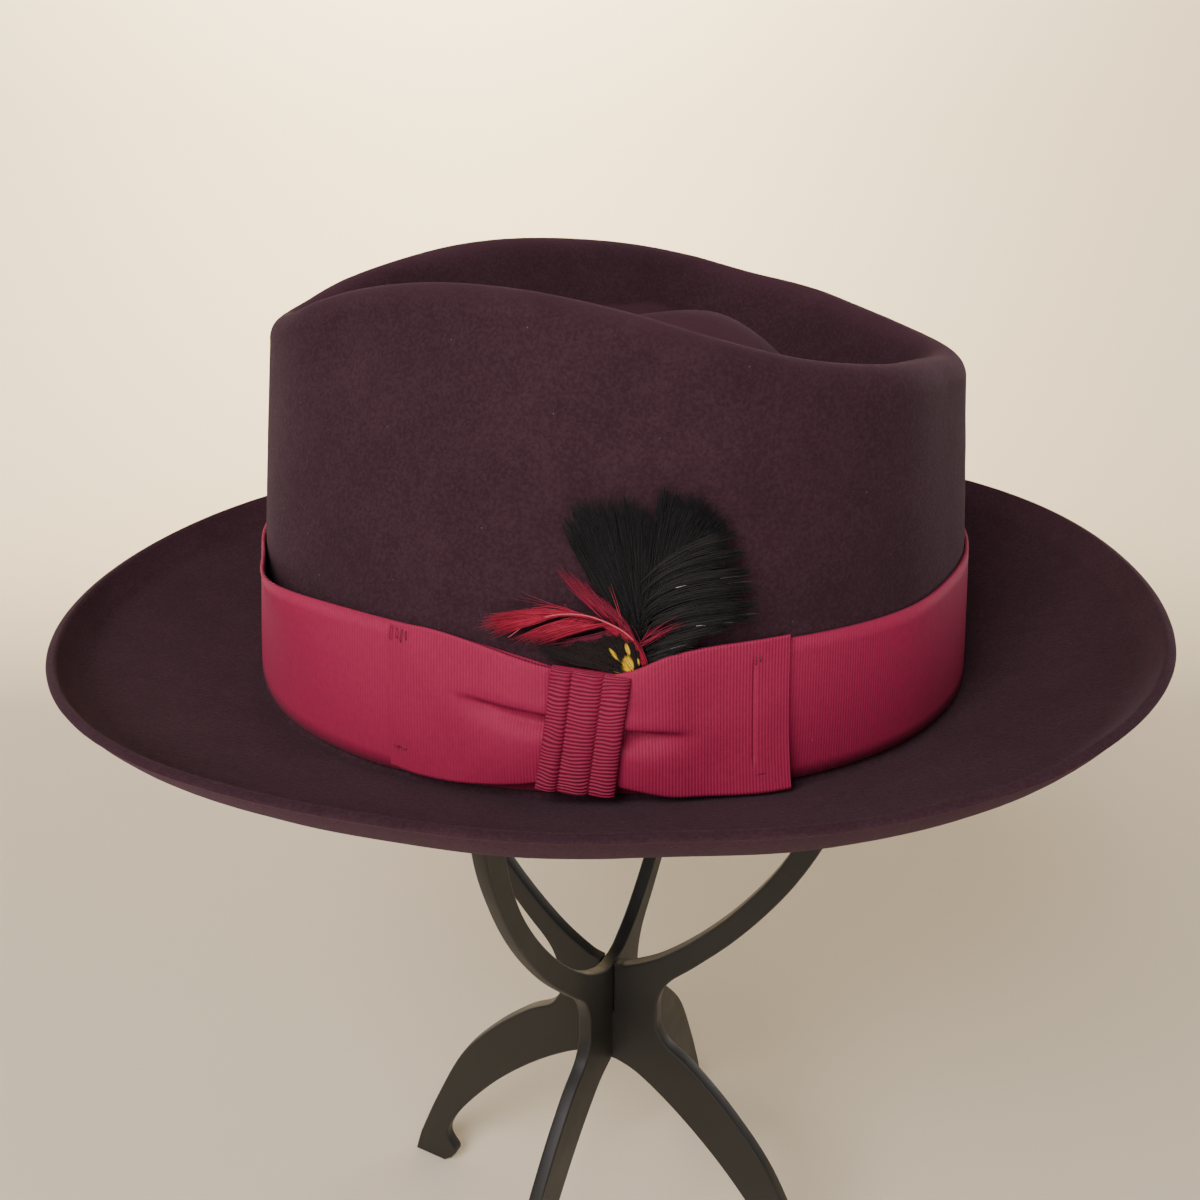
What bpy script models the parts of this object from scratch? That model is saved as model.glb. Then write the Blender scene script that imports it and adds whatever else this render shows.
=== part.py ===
"""Felt fedora with a grosgrain band, side bow and feathers, resting on a two-plate hat stand.

The hat's front is -X, the wearer's left side with the bow is -Y, and +Z is up.
The stand's feet are on z = 0 and the brim is centred over the origin. Metres throughout.
"""
import math

import bmesh
import bpy
import numpy as np

MM = 0.001

# Felt body
CROWN_HALF_LENGTH = 102.8 * MM
CROWN_HALF_WIDTH = 87.1 * MM
OVAL_FULLNESS = 0.02
FRONT_TRIM = 0.9 * MM
CROWN_HEIGHT = 113.3 * MM
CREST_INSET = 14.4 * MM
CREST_SHIFT = 1.6 * MM
CREST_RADIUS = 7.0 * MM
DENT_DEPTH = 22.0 * MM
DENT_SLOPE = math.radians(65.0)
GROOVE_RADIUS = 9.0 * MM
MOUND_HEIGHT = 100.0 * MM
MOUND_REACH = 66.0 * MM
WALL_FULLNESS_END = 1.25
WALL_FULLNESS_SIDE = 1.85
BRIM_WIDTH = 50.0 * MM
BRIM_RISE_FRONT = 15.4 * MM
BRIM_RISE_BACK = 26.8 * MM
LIP_WIDTH = 9.0 * MM
LIP_HEIGHT = 6.5 * MM
JOIN_RADIUS = 2.2 * MM
FELT_THICKNESS = 2.2 * MM

# Ribbon band and bow
SEAT_GAP = 0.3 * MM
RIBBON_WIDTH = 37.0 * MM
RIBBON_THICKNESS = 1.0 * MM
BAND_GAPE = 7.0 * MM
BOW_FRONT_X = -54.0 * MM
BOW_REAR_X = 41.5 * MM
KNOT_X = -7.4 * MM
KNOT_WIDTH = 19.3 * MM
KNOT_SLANT = 5.0 * MM
KNOT_PROUD = 5.6 * MM
KNOT_RIDGE = 0.35 * MM
BOW_LIFT = 4.6 * MM
PLEAT_DEPTH = 1.6 * MM
TAIL_FLARE = 4.0 * MM

# Feathers, whose lengths are measured from the root behind the bow
FEATHER_ROOT_X = 7.5 * MM
FEATHER_ROOT_DEPTH = 6.0 * MM
BLACK_LENGTH = 43.0 * MM
RED_LENGTH = 46.0 * MM
SPOTTED_LENGTH = 16.0 * MM
VANE_THICKNESS = 0.7 * MM
VANE_STAND_OFF = 2.2 * MM
RED_LOCKS = 14
SPOTTED_LOCKS = 6

# Stand
PLATE_THICKNESS = 4.5 * MM
STAND_TURN = math.radians(-26.7)
STAND_SIDE_SHIFT = -4.7 * MM
HUB_HEIGHT = 113.0 * MM
HEAD_HEIGHT = 228.5 * MM
HEAD_CLEARANCE = 4.9 * MM
FOOT_RADIUS = 88.0 * MM

COLUMNS = 48
OUTLINE_STEPS = 2

# The crest of the dent from the back (0) to the front (1): half-gap as a share of the
# crown's half-width, height as a share of the crown's height.
CREST = (
    # half_gap, height
    (0.000, 0.799),
    (0.172, 0.803),
    (0.352, 0.823),
    (0.587, 0.851),
    (0.701, 0.882),
    (0.762, 0.930),
    (0.682, 0.974),
    (0.551, 0.998),
    (0.406, 0.997),
    (0.279, 0.972),
    (0.197, 0.934),
    (0.097, 0.891),
    (0.000, 0.876),
)

# The brim every 30 degrees from the hat's back to its front: width as a share of the brim's,
# and the edge's rise from its rise at the front (0) to its rise at the back (1).
BRIM = (
    # width, rise
    (0.97, 1.00),
    (1.01, 0.88),
    (0.99, 0.68),
    (0.90, 0.56),
    (0.91, 0.42),
    (1.04, 0.16),
    (1.11, 0.00),
)

# A bow panel from its free end (0) to the knot (1): its lower and upper edge as shares of
# the ribbon's width, and its lift off the band as a share of the bow's lift.
FRONT_PANEL = (
    # along, lower, upper, lift
    (0.00, 0.02, 0.99, 0.00),
    (0.25, 0.01, 0.99, 0.16),
    (0.50, 0.00, 0.97, 0.50),
    (0.68, 0.01, 0.91, 0.75),
    (0.76, 0.06, 0.82, 0.72),
    (1.00, 0.14, 0.78, 0.50),
)
REAR_PANEL = (
    # along, lower, upper, lift
    (0.00, 0.01, 1.02, 0.06),
    (0.22, 0.005, 1.01, 0.04),
    (0.45, 0.00, 0.99, 0.35),
    (0.68, 0.00, 0.92, 1.00),
    (0.77, 0.06, 0.81, 0.90),
    (1.00, 0.14, 0.78, 0.50),
)

# The fan of the black feather: direction in degrees from the hat's rear towards up, and the
# tips' reach and the notches' depth as shares of its length.
BLACK_FAN = (
    # direction, reach
    (120.0, 0.62),
    (113.0, 0.93),
    (106.0, 0.96),
    (99.0, 0.95),
    (92.0, 0.88),
    (85.0, 1.00),
    (77.0, 1.00),
    (69.0, 0.98),
    (60.0, 0.93),
    (51.0, 0.88),
    (42.0, 0.83),
    (33.0, 0.76),
    (24.0, 0.62),
    (15.0, 0.42),
)

# The long feathers along their quill: place and vane width on each side, all as shares of
# the feather's length; front is towards the hat's front or up, back the other side.
RED_VANE = (
    # along, toward_rear, rise, width_front, width_back
    (0.00, 0.00, 0.00, 0.02, 0.02),
    (0.16, -0.04, 0.15, 0.06, 0.05),
    (0.33, -0.15, 0.27, 0.30, 0.10),
    (0.50, -0.30, 0.345, 0.24, 0.14),
    (0.66, -0.46, 0.35, 0.12, 0.13),
    (0.82, -0.61, 0.31, 0.07, 0.10),
    (1.00, -0.76, 0.22, 0.02, 0.04),
)
SPOTTED_VANE = (
    # along, toward_rear, rise, width_front, width_back
    (0.00, 0.00, 0.00, 0.05, 0.05),
    (0.30, -0.06, 0.40, 0.22, 0.10),
    (0.60, -0.22, 0.66, 0.38, 0.22),
    (0.85, -0.40, 0.84, 0.30, 0.22),
    (1.00, -0.52, 0.92, 0.10, 0.10),
)

# Half of a stand plate, as (reach, height) shares. Above the hub the reach is a share of the
# head's radius and the height a share of the head's; below it they are shares of the foot's
# radius and the hub's height.
HEAD_OUTSIDE = (
    (0.235, 0.00), (0.24, 0.04), (0.285, 0.078), (0.40, 0.123), (0.55, 0.185), (0.69, 0.254),
    (0.80, 0.32), (0.89, 0.39), (0.96, 0.465), (0.99, 0.55), (0.965, 0.64), (0.905, 0.73),
    (0.82, 0.81), (0.70, 0.88), (0.55, 0.935), (0.38, 0.972), (0.20, 0.993), (0.00, 1.00),
)
HEAD_INSIDE = (
    (0.00, 0.078), (0.10, 0.087), (0.235, 0.118), (0.395, 0.172), (0.55, 0.238), (0.68, 0.307),
    (0.77, 0.37), (0.83, 0.44), (0.85, 0.52), (0.835, 0.60), (0.785, 0.68), (0.71, 0.755),
    (0.60, 0.82), (0.46, 0.873), (0.31, 0.91), (0.16, 0.93), (0.00, 0.936),
)
LEG_OUTSIDE = (
    (0.215, -0.03), (0.26, -0.085), (0.37, -0.145), (0.54, -0.275), (0.71, -0.45), (0.86, -0.70),
    (0.965, -0.905),
)
FOOT_SOLE = ((1.00, -1.00), (0.84, -1.00))
LEG_INSIDE = (
    (0.80, -0.972), (0.775, -0.93), (0.815, -0.87), (0.785, -0.79), (0.68, -0.656),
    (0.51, -0.488), (0.32, -0.342), (0.145, -0.24), (0.00, -0.205),
)


def clear_scene():
    for item in list(bpy.data.objects):
        bpy.data.objects.remove(item, do_unlink=True)


def material(name, color, roughness, metallic=0.0):
    made = bpy.data.materials.new(name)
    made.use_nodes = True
    shader = made.node_tree.nodes["Principled BSDF"]
    shader.inputs["Base Color"].default_value = (*color, 1.0)
    shader.inputs["Roughness"].default_value = roughness
    shader.inputs["Metallic"].default_value = metallic
    return made


def add_solid(name, vertices, faces, finish, sharp_angle=50.0):
    mesh = bpy.data.meshes.new(name)
    mesh.from_pydata([tuple(map(float, point)) for point in vertices], [], faces)
    mesh.update()
    mesh.materials.append(finish)
    mesh.shade_smooth()
    mesh.set_sharp_from_angle(angle=math.radians(sharp_angle))
    solid = bpy.data.objects.new(name, mesh)
    bpy.context.scene.collection.objects.link(solid)
    return solid


def smooth_step(value):
    value = np.clip(value, 0.0, 1.0)
    return value * value * (3.0 - 2.0 * value)


def table_curve(place, stations, values):
    """Cubic Hermite curve through a table's rows, with slopes from the neighbouring rows."""
    stations = np.asarray(stations, float)
    values = np.asarray(values, float)
    slopes = np.gradient(values, stations)
    place = np.clip(place, stations[0], stations[-1])
    row = np.clip(np.searchsorted(stations, place) - 1, 0, len(stations) - 2)
    step = stations[row + 1] - stations[row]
    t = (place - stations[row]) / step
    return (values[row] * (1 + 2 * t) * (1 - t) ** 2 + values[row + 1] * t * t * (3 - 2 * t)
            + step * (slopes[row] * t * (1 - t) ** 2 - slopes[row + 1] * t * t * (1 - t)))


def ring_curve(angle, values):
    """Closed smooth curve through evenly spaced values, one turn for all of them."""
    values = np.asarray(values, float)
    place = np.asarray(angle, float) / (2 * math.pi) * len(values)
    start = np.floor(place).astype(int)
    t = place - start
    before, here, after, beyond = (values[(start + k) % len(values)] for k in (-1, 0, 1, 2))
    return 0.5 * (2 * here + (after - before) * t
                  + (2 * before - 5 * here + 4 * after - beyond) * t * t
                  + (3 * here - before - 3 * after + beyond) * t ** 3)


def unit(vectors):
    return vectors / np.maximum(np.linalg.norm(vectors, axis=-1, keepdims=True), 1e-12)


# Felt body, worked out with the foot of the crown at z = 0

def front_trim(angle):
    """The front of the crown is a little flatter than its back."""
    return FRONT_TRIM * np.minimum(np.cos(angle), 0.0) ** 2


def crest_point(angle):
    """The dent's crest at an angle from the hat's rear."""
    gaps = [row[0] for row in CREST]
    heights = [row[1] for row in CREST]
    both_gaps = gaps + [-gap for gap in gaps[-2:0:-1]]
    both_heights = heights + heights[-2:0:-1]
    reach = CROWN_HALF_LENGTH - CREST_INSET
    return np.stack([
        CREST_SHIFT + reach * np.cos(angle) + front_trim(angle),
        CROWN_HALF_WIDTH * ring_curve(angle, both_gaps),
        CROWN_HEIGHT * ring_curve(angle, both_heights)], axis=-1)


def crest_outward(angle):
    """Level direction that points out of the dent, square to its crest."""
    step = 0.02
    along = crest_point(angle + step) - crest_point(angle - step)
    return unit(np.stack([along[..., 1], -along[..., 0], 0 * along[..., 0]], axis=-1))


def oval_point(angle, margin=0.0):
    """The crown's foot: an oval that is fuller than an ellipse between its axes."""
    full = 1.0 + OVAL_FULLNESS * np.sin(2 * angle) ** 2
    return np.stack([
        (CROWN_HALF_LENGTH * full + margin) * np.cos(angle) + front_trim(angle),
        (CROWN_HALF_WIDTH * full + margin) * np.sin(angle),
        0.0 * np.cos(angle)], axis=-1)


def wall_on_felt(angle, height):
    """Outside of the crown: the oval foot leaning in towards the shoulder below the crest."""
    angle, height = np.broadcast_arrays(np.asarray(angle, float), np.asarray(height, float))
    shoulder = crest_point(angle) + CREST_RADIUS * crest_outward(angle)
    top = shoulder[..., 2] - CREST_RADIUS
    fullness = WALL_FULLNESS_END + (WALL_FULLNESS_SIDE - WALL_FULLNESS_END) * np.sin(angle) ** 2
    lean = np.clip(height / top, 0.0, 1.0) ** fullness
    foot = oval_point(angle)
    point = foot + (shoulder - foot) * lean[..., None]
    point[..., 2] = height
    return point


def wall_point(angle, height, offset):
    """A point that stands off the crown's wall along its outward normal."""
    step = 0.01
    around = wall_on_felt(angle + step, height) - wall_on_felt(angle - step, height)
    rise = CROWN_HEIGHT / 100
    upward = wall_on_felt(angle, height + rise) - wall_on_felt(angle, height)
    normal = unit(np.cross(around, upward))
    return wall_on_felt(angle, height) + normal * np.asarray(offset, float)[..., None]


def dent_drop(distance):
    """Fall from the crest at a level distance inside it: arc, slope, then the groove's arc."""
    crest_end = CREST_RADIUS * math.sin(DENT_SLOPE)
    arcs_drop = (CREST_RADIUS + GROOVE_RADIUS) * (1 - math.cos(DENT_SLOPE))
    slope_drop = max(DENT_DEPTH - arcs_drop, 0.0)
    slope_end = crest_end + slope_drop / math.tan(DENT_SLOPE)
    groove = slope_end + GROOVE_RADIUS * math.sin(DENT_SLOPE)
    on_crest = CREST_RADIUS - np.sqrt(np.maximum(CREST_RADIUS ** 2 - distance ** 2, 0.0))
    start = CREST_RADIUS * (1 - math.cos(DENT_SLOPE))
    on_slope = start + (distance - crest_end) * math.tan(DENT_SLOPE)
    left = np.clip(groove - distance, 0.0, None)
    on_groove = (arcs_drop + slope_drop - GROOVE_RADIUS
                 + np.sqrt(np.maximum(GROOVE_RADIUS ** 2 - left ** 2, 0.0)))
    drop = np.where(distance < crest_end, on_crest, on_slope)
    return np.where(distance < slope_end, drop, on_groove), groove


def dent_height(x, y):
    """Height of the dented top inside its crest."""
    ring = crest_point(np.linspace(0, 2 * math.pi, 720, endpoint=False))
    gaps = np.hypot(np.asarray(x)[..., None] - ring[:, 0], np.asarray(y)[..., None] - ring[:, 1])
    nearest = gaps.argmin(axis=-1)
    distance = gaps.min(axis=-1)
    rim = ring[nearest, 2]
    drop, groove = dent_drop(distance)
    swell = smooth_step((distance - groove) / (MOUND_REACH - groove))
    floor = rim - drop
    return floor + (MOUND_HEIGHT - floor) * swell


def brim_width(angle):
    widths = [row[0] for row in BRIM]
    return BRIM_WIDTH * ring_curve(angle, widths + widths[-2:0:-1])


def brim_height(angle, share):
    """Height of the brim's top at a share of its width: a shallow dish with a raised lip."""
    rises = [row[1] for row in BRIM]
    rise = ring_curve(angle, rises + rises[-2:0:-1])
    edge = BRIM_RISE_FRONT + (BRIM_RISE_BACK - BRIM_RISE_FRONT) * rise
    lip_start = 1.0 - LIP_WIDTH / brim_width(angle)
    lip = np.clip((share - lip_start) / (1.0 - lip_start), 0.0, 1.0) ** 2
    return (edge - LIP_HEIGHT) * share ** 1.1 + LIP_HEIGHT * lip


def felt_rows(angle):
    """The felt's outside as rings of points, from the brim's edge to near the dent's middle."""
    rows = []
    width = brim_width(angle)
    for share in (1.0, 0.965, 0.925, 0.88, 0.80, 0.62, 0.40, 0.20, JOIN_RADIUS / width):
        ring = oval_point(angle, width * share)
        ring[..., 2] = brim_height(angle, share)
        rows.append(ring)
    corner = oval_point(angle, JOIN_RADIUS * (1 - math.sqrt(0.5)))
    corner[..., 2] = JOIN_RADIUS * (1 - math.sqrt(0.5))
    rows.append(corner)
    band_top = JOIN_RADIUS + RIBBON_WIDTH
    for share in (0.0, 0.33, 0.66, 1.0):
        rows.append(wall_on_felt(angle, JOIN_RADIUS + share * (band_top - JOIN_RADIUS)))
    shoulder_top = crest_point(angle)[..., 2] - CREST_RADIUS
    for share in (0.28, 0.56, 0.82):
        rows.append(wall_on_felt(angle, band_top + share * (shoulder_top - band_top)))
    for turn in (90.0, 60.0, 30.0, 0.0):
        ring = crest_point(angle)
        ring = ring + CREST_RADIUS * math.sin(math.radians(turn)) * crest_outward(angle)
        ring[..., 2] -= CREST_RADIUS * (1 - math.cos(math.radians(turn)))
        rows.append(ring)
    crest = crest_point(angle)
    middle = np.array([CREST_SHIFT, 0.0, 0.0])
    inward = middle - crest
    inward[..., 2] = 0.0
    reach = np.linalg.norm(inward, axis=-1)
    groove = float(dent_drop(np.zeros(1))[1])
    for share in (0.16, 0.32, 0.48, 0.66, 0.84, 1.03):
        ring = crest + unit(inward) * share * groove
        ring[..., 2] = dent_height(ring[..., 0], ring[..., 1])
        rows.append(ring)
    for share in (0.2, 0.42, 0.64, 0.84):
        ring = crest + unit(inward) * (groove + share * (reach - groove))[..., None]
        ring[..., 2] = dent_height(ring[..., 0], ring[..., 1])
        rows.append(ring)
    return np.array(rows)


def felt_surfaces():
    angle = np.linspace(0, 2 * math.pi, COLUMNS, endpoint=False)
    outside = felt_rows(angle)
    around = np.roll(outside, -1, axis=1) - np.roll(outside, 1, axis=1)
    across = np.gradient(outside, axis=0)
    normal = unit(np.cross(around, across))
    inside = outside - FELT_THICKNESS * normal
    return outside, inside


def brim_middle():
    """Place along the hat of the middle of the brim's outline."""
    edge = np.concatenate([surface[0] for surface in felt_surfaces()] + [brim_edge()])
    return (edge[:, 0].min() + edge[:, 0].max()) / 2


def brim_edge():
    """The rounded rim between the felt's two surfaces."""
    outside, inside = felt_surfaces()
    edge = (outside[0] + inside[0]) / 2
    return edge + unit(edge * (1.0, 1.0, 0.0)) * FELT_THICKNESS * 0.3


def felt_solid(finish, place):
    outside, inside = felt_surfaces()
    rows = len(outside)
    edge = brim_edge()
    middle_top = np.array([CREST_SHIFT, 0.0, dent_height(CREST_SHIFT, 0.0)])
    middle_under = middle_top - (0.0, 0.0, FELT_THICKNESS)
    points = np.concatenate([outside.reshape(-1, 3), inside.reshape(-1, 3), edge,
                             [middle_top], [middle_under]])
    points = points + place
    under = rows * COLUMNS
    rim = 2 * under
    faces = []
    for i in range(COLUMNS):
        k = (i + 1) % COLUMNS
        for j in range(rows - 1):
            a = j * COLUMNS
            b = a + COLUMNS
            faces.append((a + i, a + k, b + k, b + i))
            faces.append((under + b + i, under + b + k, under + a + k, under + a + i))
        faces.append((rim + i, rim + k, k, i))
        faces.append((under + i, under + k, rim + k, rim + i))
        last = (rows - 1) * COLUMNS
        faces.append((last + i, last + k, rim + COLUMNS))
        faces.append((under + last + k, under + last + i, rim + COLUMNS + 1))
    return add_solid("felt_body", points, faces, finish)


def dense_underside():
    """Points all over the dented top's underside, finer than its faces."""
    inside = felt_surfaces()[1][-14:]
    steps = np.linspace(0, 1, 5)[:-1]
    after = np.roll(inside, -1, axis=1)
    points = []
    for u in steps:
        for v in steps:
            near = inside[:-1] * (1 - u) + inside[1:] * u
            far = after[:-1] * (1 - u) + after[1:] * u
            points.append((near * (1 - v) + far * v).reshape(-1, 3))
    return np.concatenate(points)


# Soft sheets that follow the crown's wall

def sheet_solid(name, front, back, finish, place, closed=False):
    """A thin solid between two grids of points, its rows across and its columns along."""
    rows, columns = front.shape[:2]
    points = np.concatenate([front.reshape(-1, 3), back.reshape(-1, 3)]) + place
    behind = rows * columns
    faces = []
    spans = columns if closed else columns - 1
    for i in range(spans):
        k = (i + 1) % columns
        for j in range(rows - 1):
            a = j * columns
            b = a + columns
            faces.append((a + i, a + k, b + k, b + i))
            faces.append((behind + a + i, behind + b + i, behind + b + k, behind + a + k))
        top = (rows - 1) * columns
        faces.append((behind + i, behind + k, k, i))
        faces.append((top + i, top + k, behind + top + k, behind + top + i))
    if not closed:
        last = columns - 1
        for j in range(rows - 1):
            a = j * columns
            b = a + columns
            faces.append((a, b, behind + b, behind + a))
            faces.append((a + last, behind + a + last, behind + b + last, b + last))
    return add_solid(name, points, faces, finish)


def side_angle(x):
    """Angle on the crown's left side at a place along the hat."""
    angle = np.linspace(-math.pi, 0.0, 721)
    return np.interp(x, oval_point(angle)[:, 0], angle)


def band_gape(angle, share):
    """The band's top edge stands away from the crown where the front is pinched."""
    corner = side_angle(-0.81 * CROWN_HALF_LENGTH)
    away = np.angle(np.exp(1j * (angle - corner)))
    return BAND_GAPE * np.exp(-(away / 0.20) ** 2) * share ** 2


def ribbon_band(finish, place):
    angle = np.linspace(0, 2 * math.pi, COLUMNS, endpoint=False)
    share = np.array([0.0, 0.33, 0.66, 1.0])[:, None]
    height = JOIN_RADIUS + SEAT_GAP + share * (RIBBON_WIDTH - SEAT_GAP)
    height = height + 0.0 * angle
    inner = SEAT_GAP + band_gape(angle, share)
    front = wall_point(angle + 0 * share, height, inner + RIBBON_THICKNESS)
    back = wall_point(angle + 0 * share, height, inner)
    return sheet_solid("ribbon_band", front, back, finish, place, closed=True)


def pleat(along, share, slant):
    """A crease across the panel's middle that deepens and sharpens towards the knot."""
    middle = 0.47 + slant * (1.0 - along)
    depth = smooth_step((along - 0.35) / 0.5)
    return PLEAT_DEPTH * depth * np.exp(-((share - middle) / 0.10) ** 2)


def bow_panel(name, table, free_x, slant, flare, finish, place):
    """A flattened bow panel from its free end to the middle of the knot."""
    along = np.linspace(0, 1, 13)
    share = np.linspace(0, 1, 9)[:, None]
    stations, lower, upper, lift = (np.array(column) for column in zip(*table))
    end_x = KNOT_X + math.copysign(SEAT_GAP, free_x)
    x = free_x + (end_x - free_x) * along
    low = RIBBON_WIDTH * table_curve(along, stations, lower)
    high = RIBBON_WIDTH * table_curve(along, stations, upper)
    height = JOIN_RADIUS + SEAT_GAP + low + (high - low) * share
    rise = BOW_LIFT * np.maximum(table_curve(along, stations, lift), 0.0)
    rise = rise * (0.78 + 0.22 * np.sin(math.pi * share).clip(0.0) ** 0.5)
    rise = rise - np.minimum(pleat(along, share, slant), 0.8 * rise)
    rise = rise + flare * (1.0 - share) ** 3 * (1.0 - smooth_step(along / 0.9))
    inner = 2 * SEAT_GAP + RIBBON_THICKNESS + rise
    angle = side_angle(x) + 0 * share
    if free_x > 0:
        angle, height, inner = angle[:, ::-1], height[:, ::-1], inner[:, ::-1]
    front = wall_point(angle, height, inner + RIBBON_THICKNESS)
    back = wall_point(angle, height, inner)
    return sheet_solid(name, front, back, finish, place)


def bow_knot(finish, place):
    """The cross-wrap: a pleated strip round the pinched panels, tucked in above and below."""
    wrap = np.array([
        # height share of the ribbon's width, stand-off share of the knot's
        (0.855, 0.00), (0.905, 0.16), (0.905, 0.62), (0.88, 0.86), (0.81, 0.97), (0.66, 1.00),
        (0.46, 1.00), (0.25, 1.00), (0.08, 0.97), (0.015, 0.86), (-0.015, 0.62), (-0.01, 0.20),
        (0.045, 0.00)])
    across = np.linspace(-0.5, 0.5, 10)
    seat = 2 * SEAT_GAP + RIBBON_THICKNESS
    height = JOIN_RADIUS + SEAT_GAP + RIBBON_WIDTH * wrap[:, :1] + 0 * across
    ridges = KNOT_RIDGE * np.cos(across * 6 * math.pi)
    offset = seat + RIBBON_THICKNESS + KNOT_PROUD * wrap[:, 1:] + ridges * (wrap[:, 1:] > 0.9)
    middle = JOIN_RADIUS + RIBBON_WIDTH / 2
    x = KNOT_X + KNOT_WIDTH * across + KNOT_SLANT * (height - middle) / RIBBON_WIDTH
    front = wall_point(side_angle(x), height, offset)[::-1]
    steps = np.gradient(front, axis=0)
    normal = unit(np.cross(np.gradient(front, axis=1), steps))
    back = front - RIBBON_THICKNESS * normal
    return sheet_solid("bow_knot", front, back, finish, place)


def feather_root(depth_rank):
    """Stand-off of a quill where it is tucked between the band and the bow's rear panel."""
    return 2 * SEAT_GAP + RIBBON_THICKNESS + depth_rank * (VANE_THICKNESS + SEAT_GAP)


def root_height():
    return JOIN_RADIUS + RIBBON_WIDTH * 0.95 - FEATHER_ROOT_DEPTH


def black_feather(finish, place):
    """A fan of locks fused at the root: each lock is a ridge with a pointed tip."""
    directions = np.array([row[0] for row in BLACK_FAN])
    reaches = np.array([row[1] for row in BLACK_FAN])
    lock = np.linspace(0, len(BLACK_FAN) - 1, 2 * len(BLACK_FAN) - 1)
    turn = np.radians(np.interp(lock, np.arange(len(BLACK_FAN)), directions))
    reach = np.interp(lock, np.arange(len(BLACK_FAN)), reaches)
    valley = (np.arange(len(lock)) % 2).astype(float)
    reach = reach * (1 - 0.10 * valley)
    out = np.array([0.10, 0.28, 0.5, 0.72, 0.9, 1.0])[:, None]
    length = BLACK_LENGTH * reach * out
    x = FEATHER_ROOT_X + length * np.cos(turn)
    height = root_height() + FEATHER_ROOT_DEPTH + length * np.sin(turn)
    height = height - FEATHER_ROOT_DEPTH * (1 - out)
    thick = VANE_THICKNESS * (1.0 + 0.5 * np.sin(math.pi * out)) * (1 - 0.35 * valley)
    bulge = np.sin(math.pi * np.clip(lock / lock[-1], 0.0, 1.0)).clip(0.0) ** 0.5
    inner = feather_root(0) + VANE_STAND_OFF * out ** 3 * bulge
    angle = side_angle(x)
    front = wall_point(angle, height, inner + thick)
    back = wall_point(angle, height, inner)
    return sheet_solid("black_feather", front, back, finish, place)


def vane_solid(name, table, length, rank, barbs, finish, place):
    """A feather as a vane along a curved quill, its edges cut into barb locks."""
    stations, rear, rise, wide_front, wide_back = (np.array(c) for c in zip(*table))
    along = np.linspace(0, 1, 2 * barbs + 1)
    quill_x = FEATHER_ROOT_X + length * table_curve(along, stations, rear)
    quill_z = root_height() + length * table_curve(along, stations, rise)
    step_x = np.gradient(quill_x)
    step_z = np.gradient(quill_z)
    size = np.hypot(step_x, step_z)
    forward_x, forward_z = step_x / size, step_z / size
    tooth = 1 - 0.30 * (np.arange(len(along)) % 2)
    front_width = length * table_curve(along, stations, wide_front) * tooth
    back_width = length * table_curve(along, stations, wide_back) * tooth
    across = np.array([-1.0, -0.5, 0.0, 0.5, 1.0])[:, None]
    reach = np.where(across > 0, front_width, back_width) * across
    sweep = 0.55 * np.abs(reach)
    x = quill_x + forward_z * reach + forward_x * sweep
    height = quill_z - forward_x * reach + forward_z * sweep
    thick = VANE_THICKNESS * (1.0 - 0.45 * np.abs(across)) + 0 * along
    stand_off = VANE_STAND_OFF * length / RED_LENGTH
    inner = feather_root(rank) + stand_off * along * (1 - 0.3 * np.abs(across))
    angle = side_angle(x)
    front = wall_point(angle, height, inner + thick)
    back = wall_point(angle, height, inner)
    facing = np.cross(front[2, 1] - front[2, 0], front[3, 0] - front[2, 0])
    if np.dot(facing, front[2, 0] - back[2, 0]) < 0:
        front, back = front[::-1], back[::-1]
    return sheet_solid(name, front, back, finish, place)


# Stand

def smooth_outline(points, steps):
    """A smooth open curve through the points, with a few steps between each two."""
    points = np.asarray(points, float)
    place = np.linspace(0, len(points) - 1, (len(points) - 1) * steps + 1)
    index = np.arange(len(points))
    return np.stack([table_curve(place, index, points[:, k]) for k in (0, 1)], axis=-1)


def head_radius():
    return CROWN_HALF_WIDTH - FELT_THICKNESS - HEAD_CLEARANCE


def scaled(points, radius, height):
    return [(radius * reach, HUB_HEIGHT + height * rise) for reach, rise in points]


def head_outline(points):
    return smooth_outline(scaled(points, head_radius(), HEAD_HEIGHT), OUTLINE_STEPS)


def leg_outline(points):
    return smooth_outline(scaled(points, FOOT_RADIUS, HUB_HEIGHT), OUTLINE_STEPS)


def prism(name, outline, half_thickness, finish=None):
    """A closed outline of (reach, height) points given a thickness along its own Y."""
    count = len(outline)
    points = [(r, -half_thickness, z) for r, z in outline]
    points += [(r, half_thickness, z) for r, z in outline]
    faces = [tuple(range(count)), tuple(range(2 * count - 1, count - 1, -1))]
    for i in range(count):
        k = (i + 1) % count
        faces.append((i, i + count, k + count, k))
    mesh = bpy.data.meshes.new(name)
    mesh.from_pydata([tuple(map(float, point)) for point in points], [], faces)
    shape = bmesh.new()
    shape.from_mesh(mesh)
    bmesh.ops.recalc_face_normals(shape, faces=shape.faces)
    shape.to_mesh(mesh)
    shape.free()
    if finish is not None:
        mesh.materials.append(finish)
    made = bpy.data.objects.new(name, mesh)
    bpy.context.scene.collection.objects.link(made)
    return made


def both_sides(half):
    """A half outline from the axis to the axis again, and its mirror image."""
    half = [tuple(point) for point in half]
    mirrored = [(-r, z) for r, z in half[::-1] if r > 1e-6]
    return half + mirrored


def cut(target, cutter):
    cutter.hide_render = True
    cutter.display_type = "WIRE"
    cutter.parent = target.parent
    step = target.modifiers.new("cut_" + cutter.name, "BOOLEAN")
    step.operation = "DIFFERENCE"
    step.solver = "EXACT"
    step.object = cutter


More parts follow.
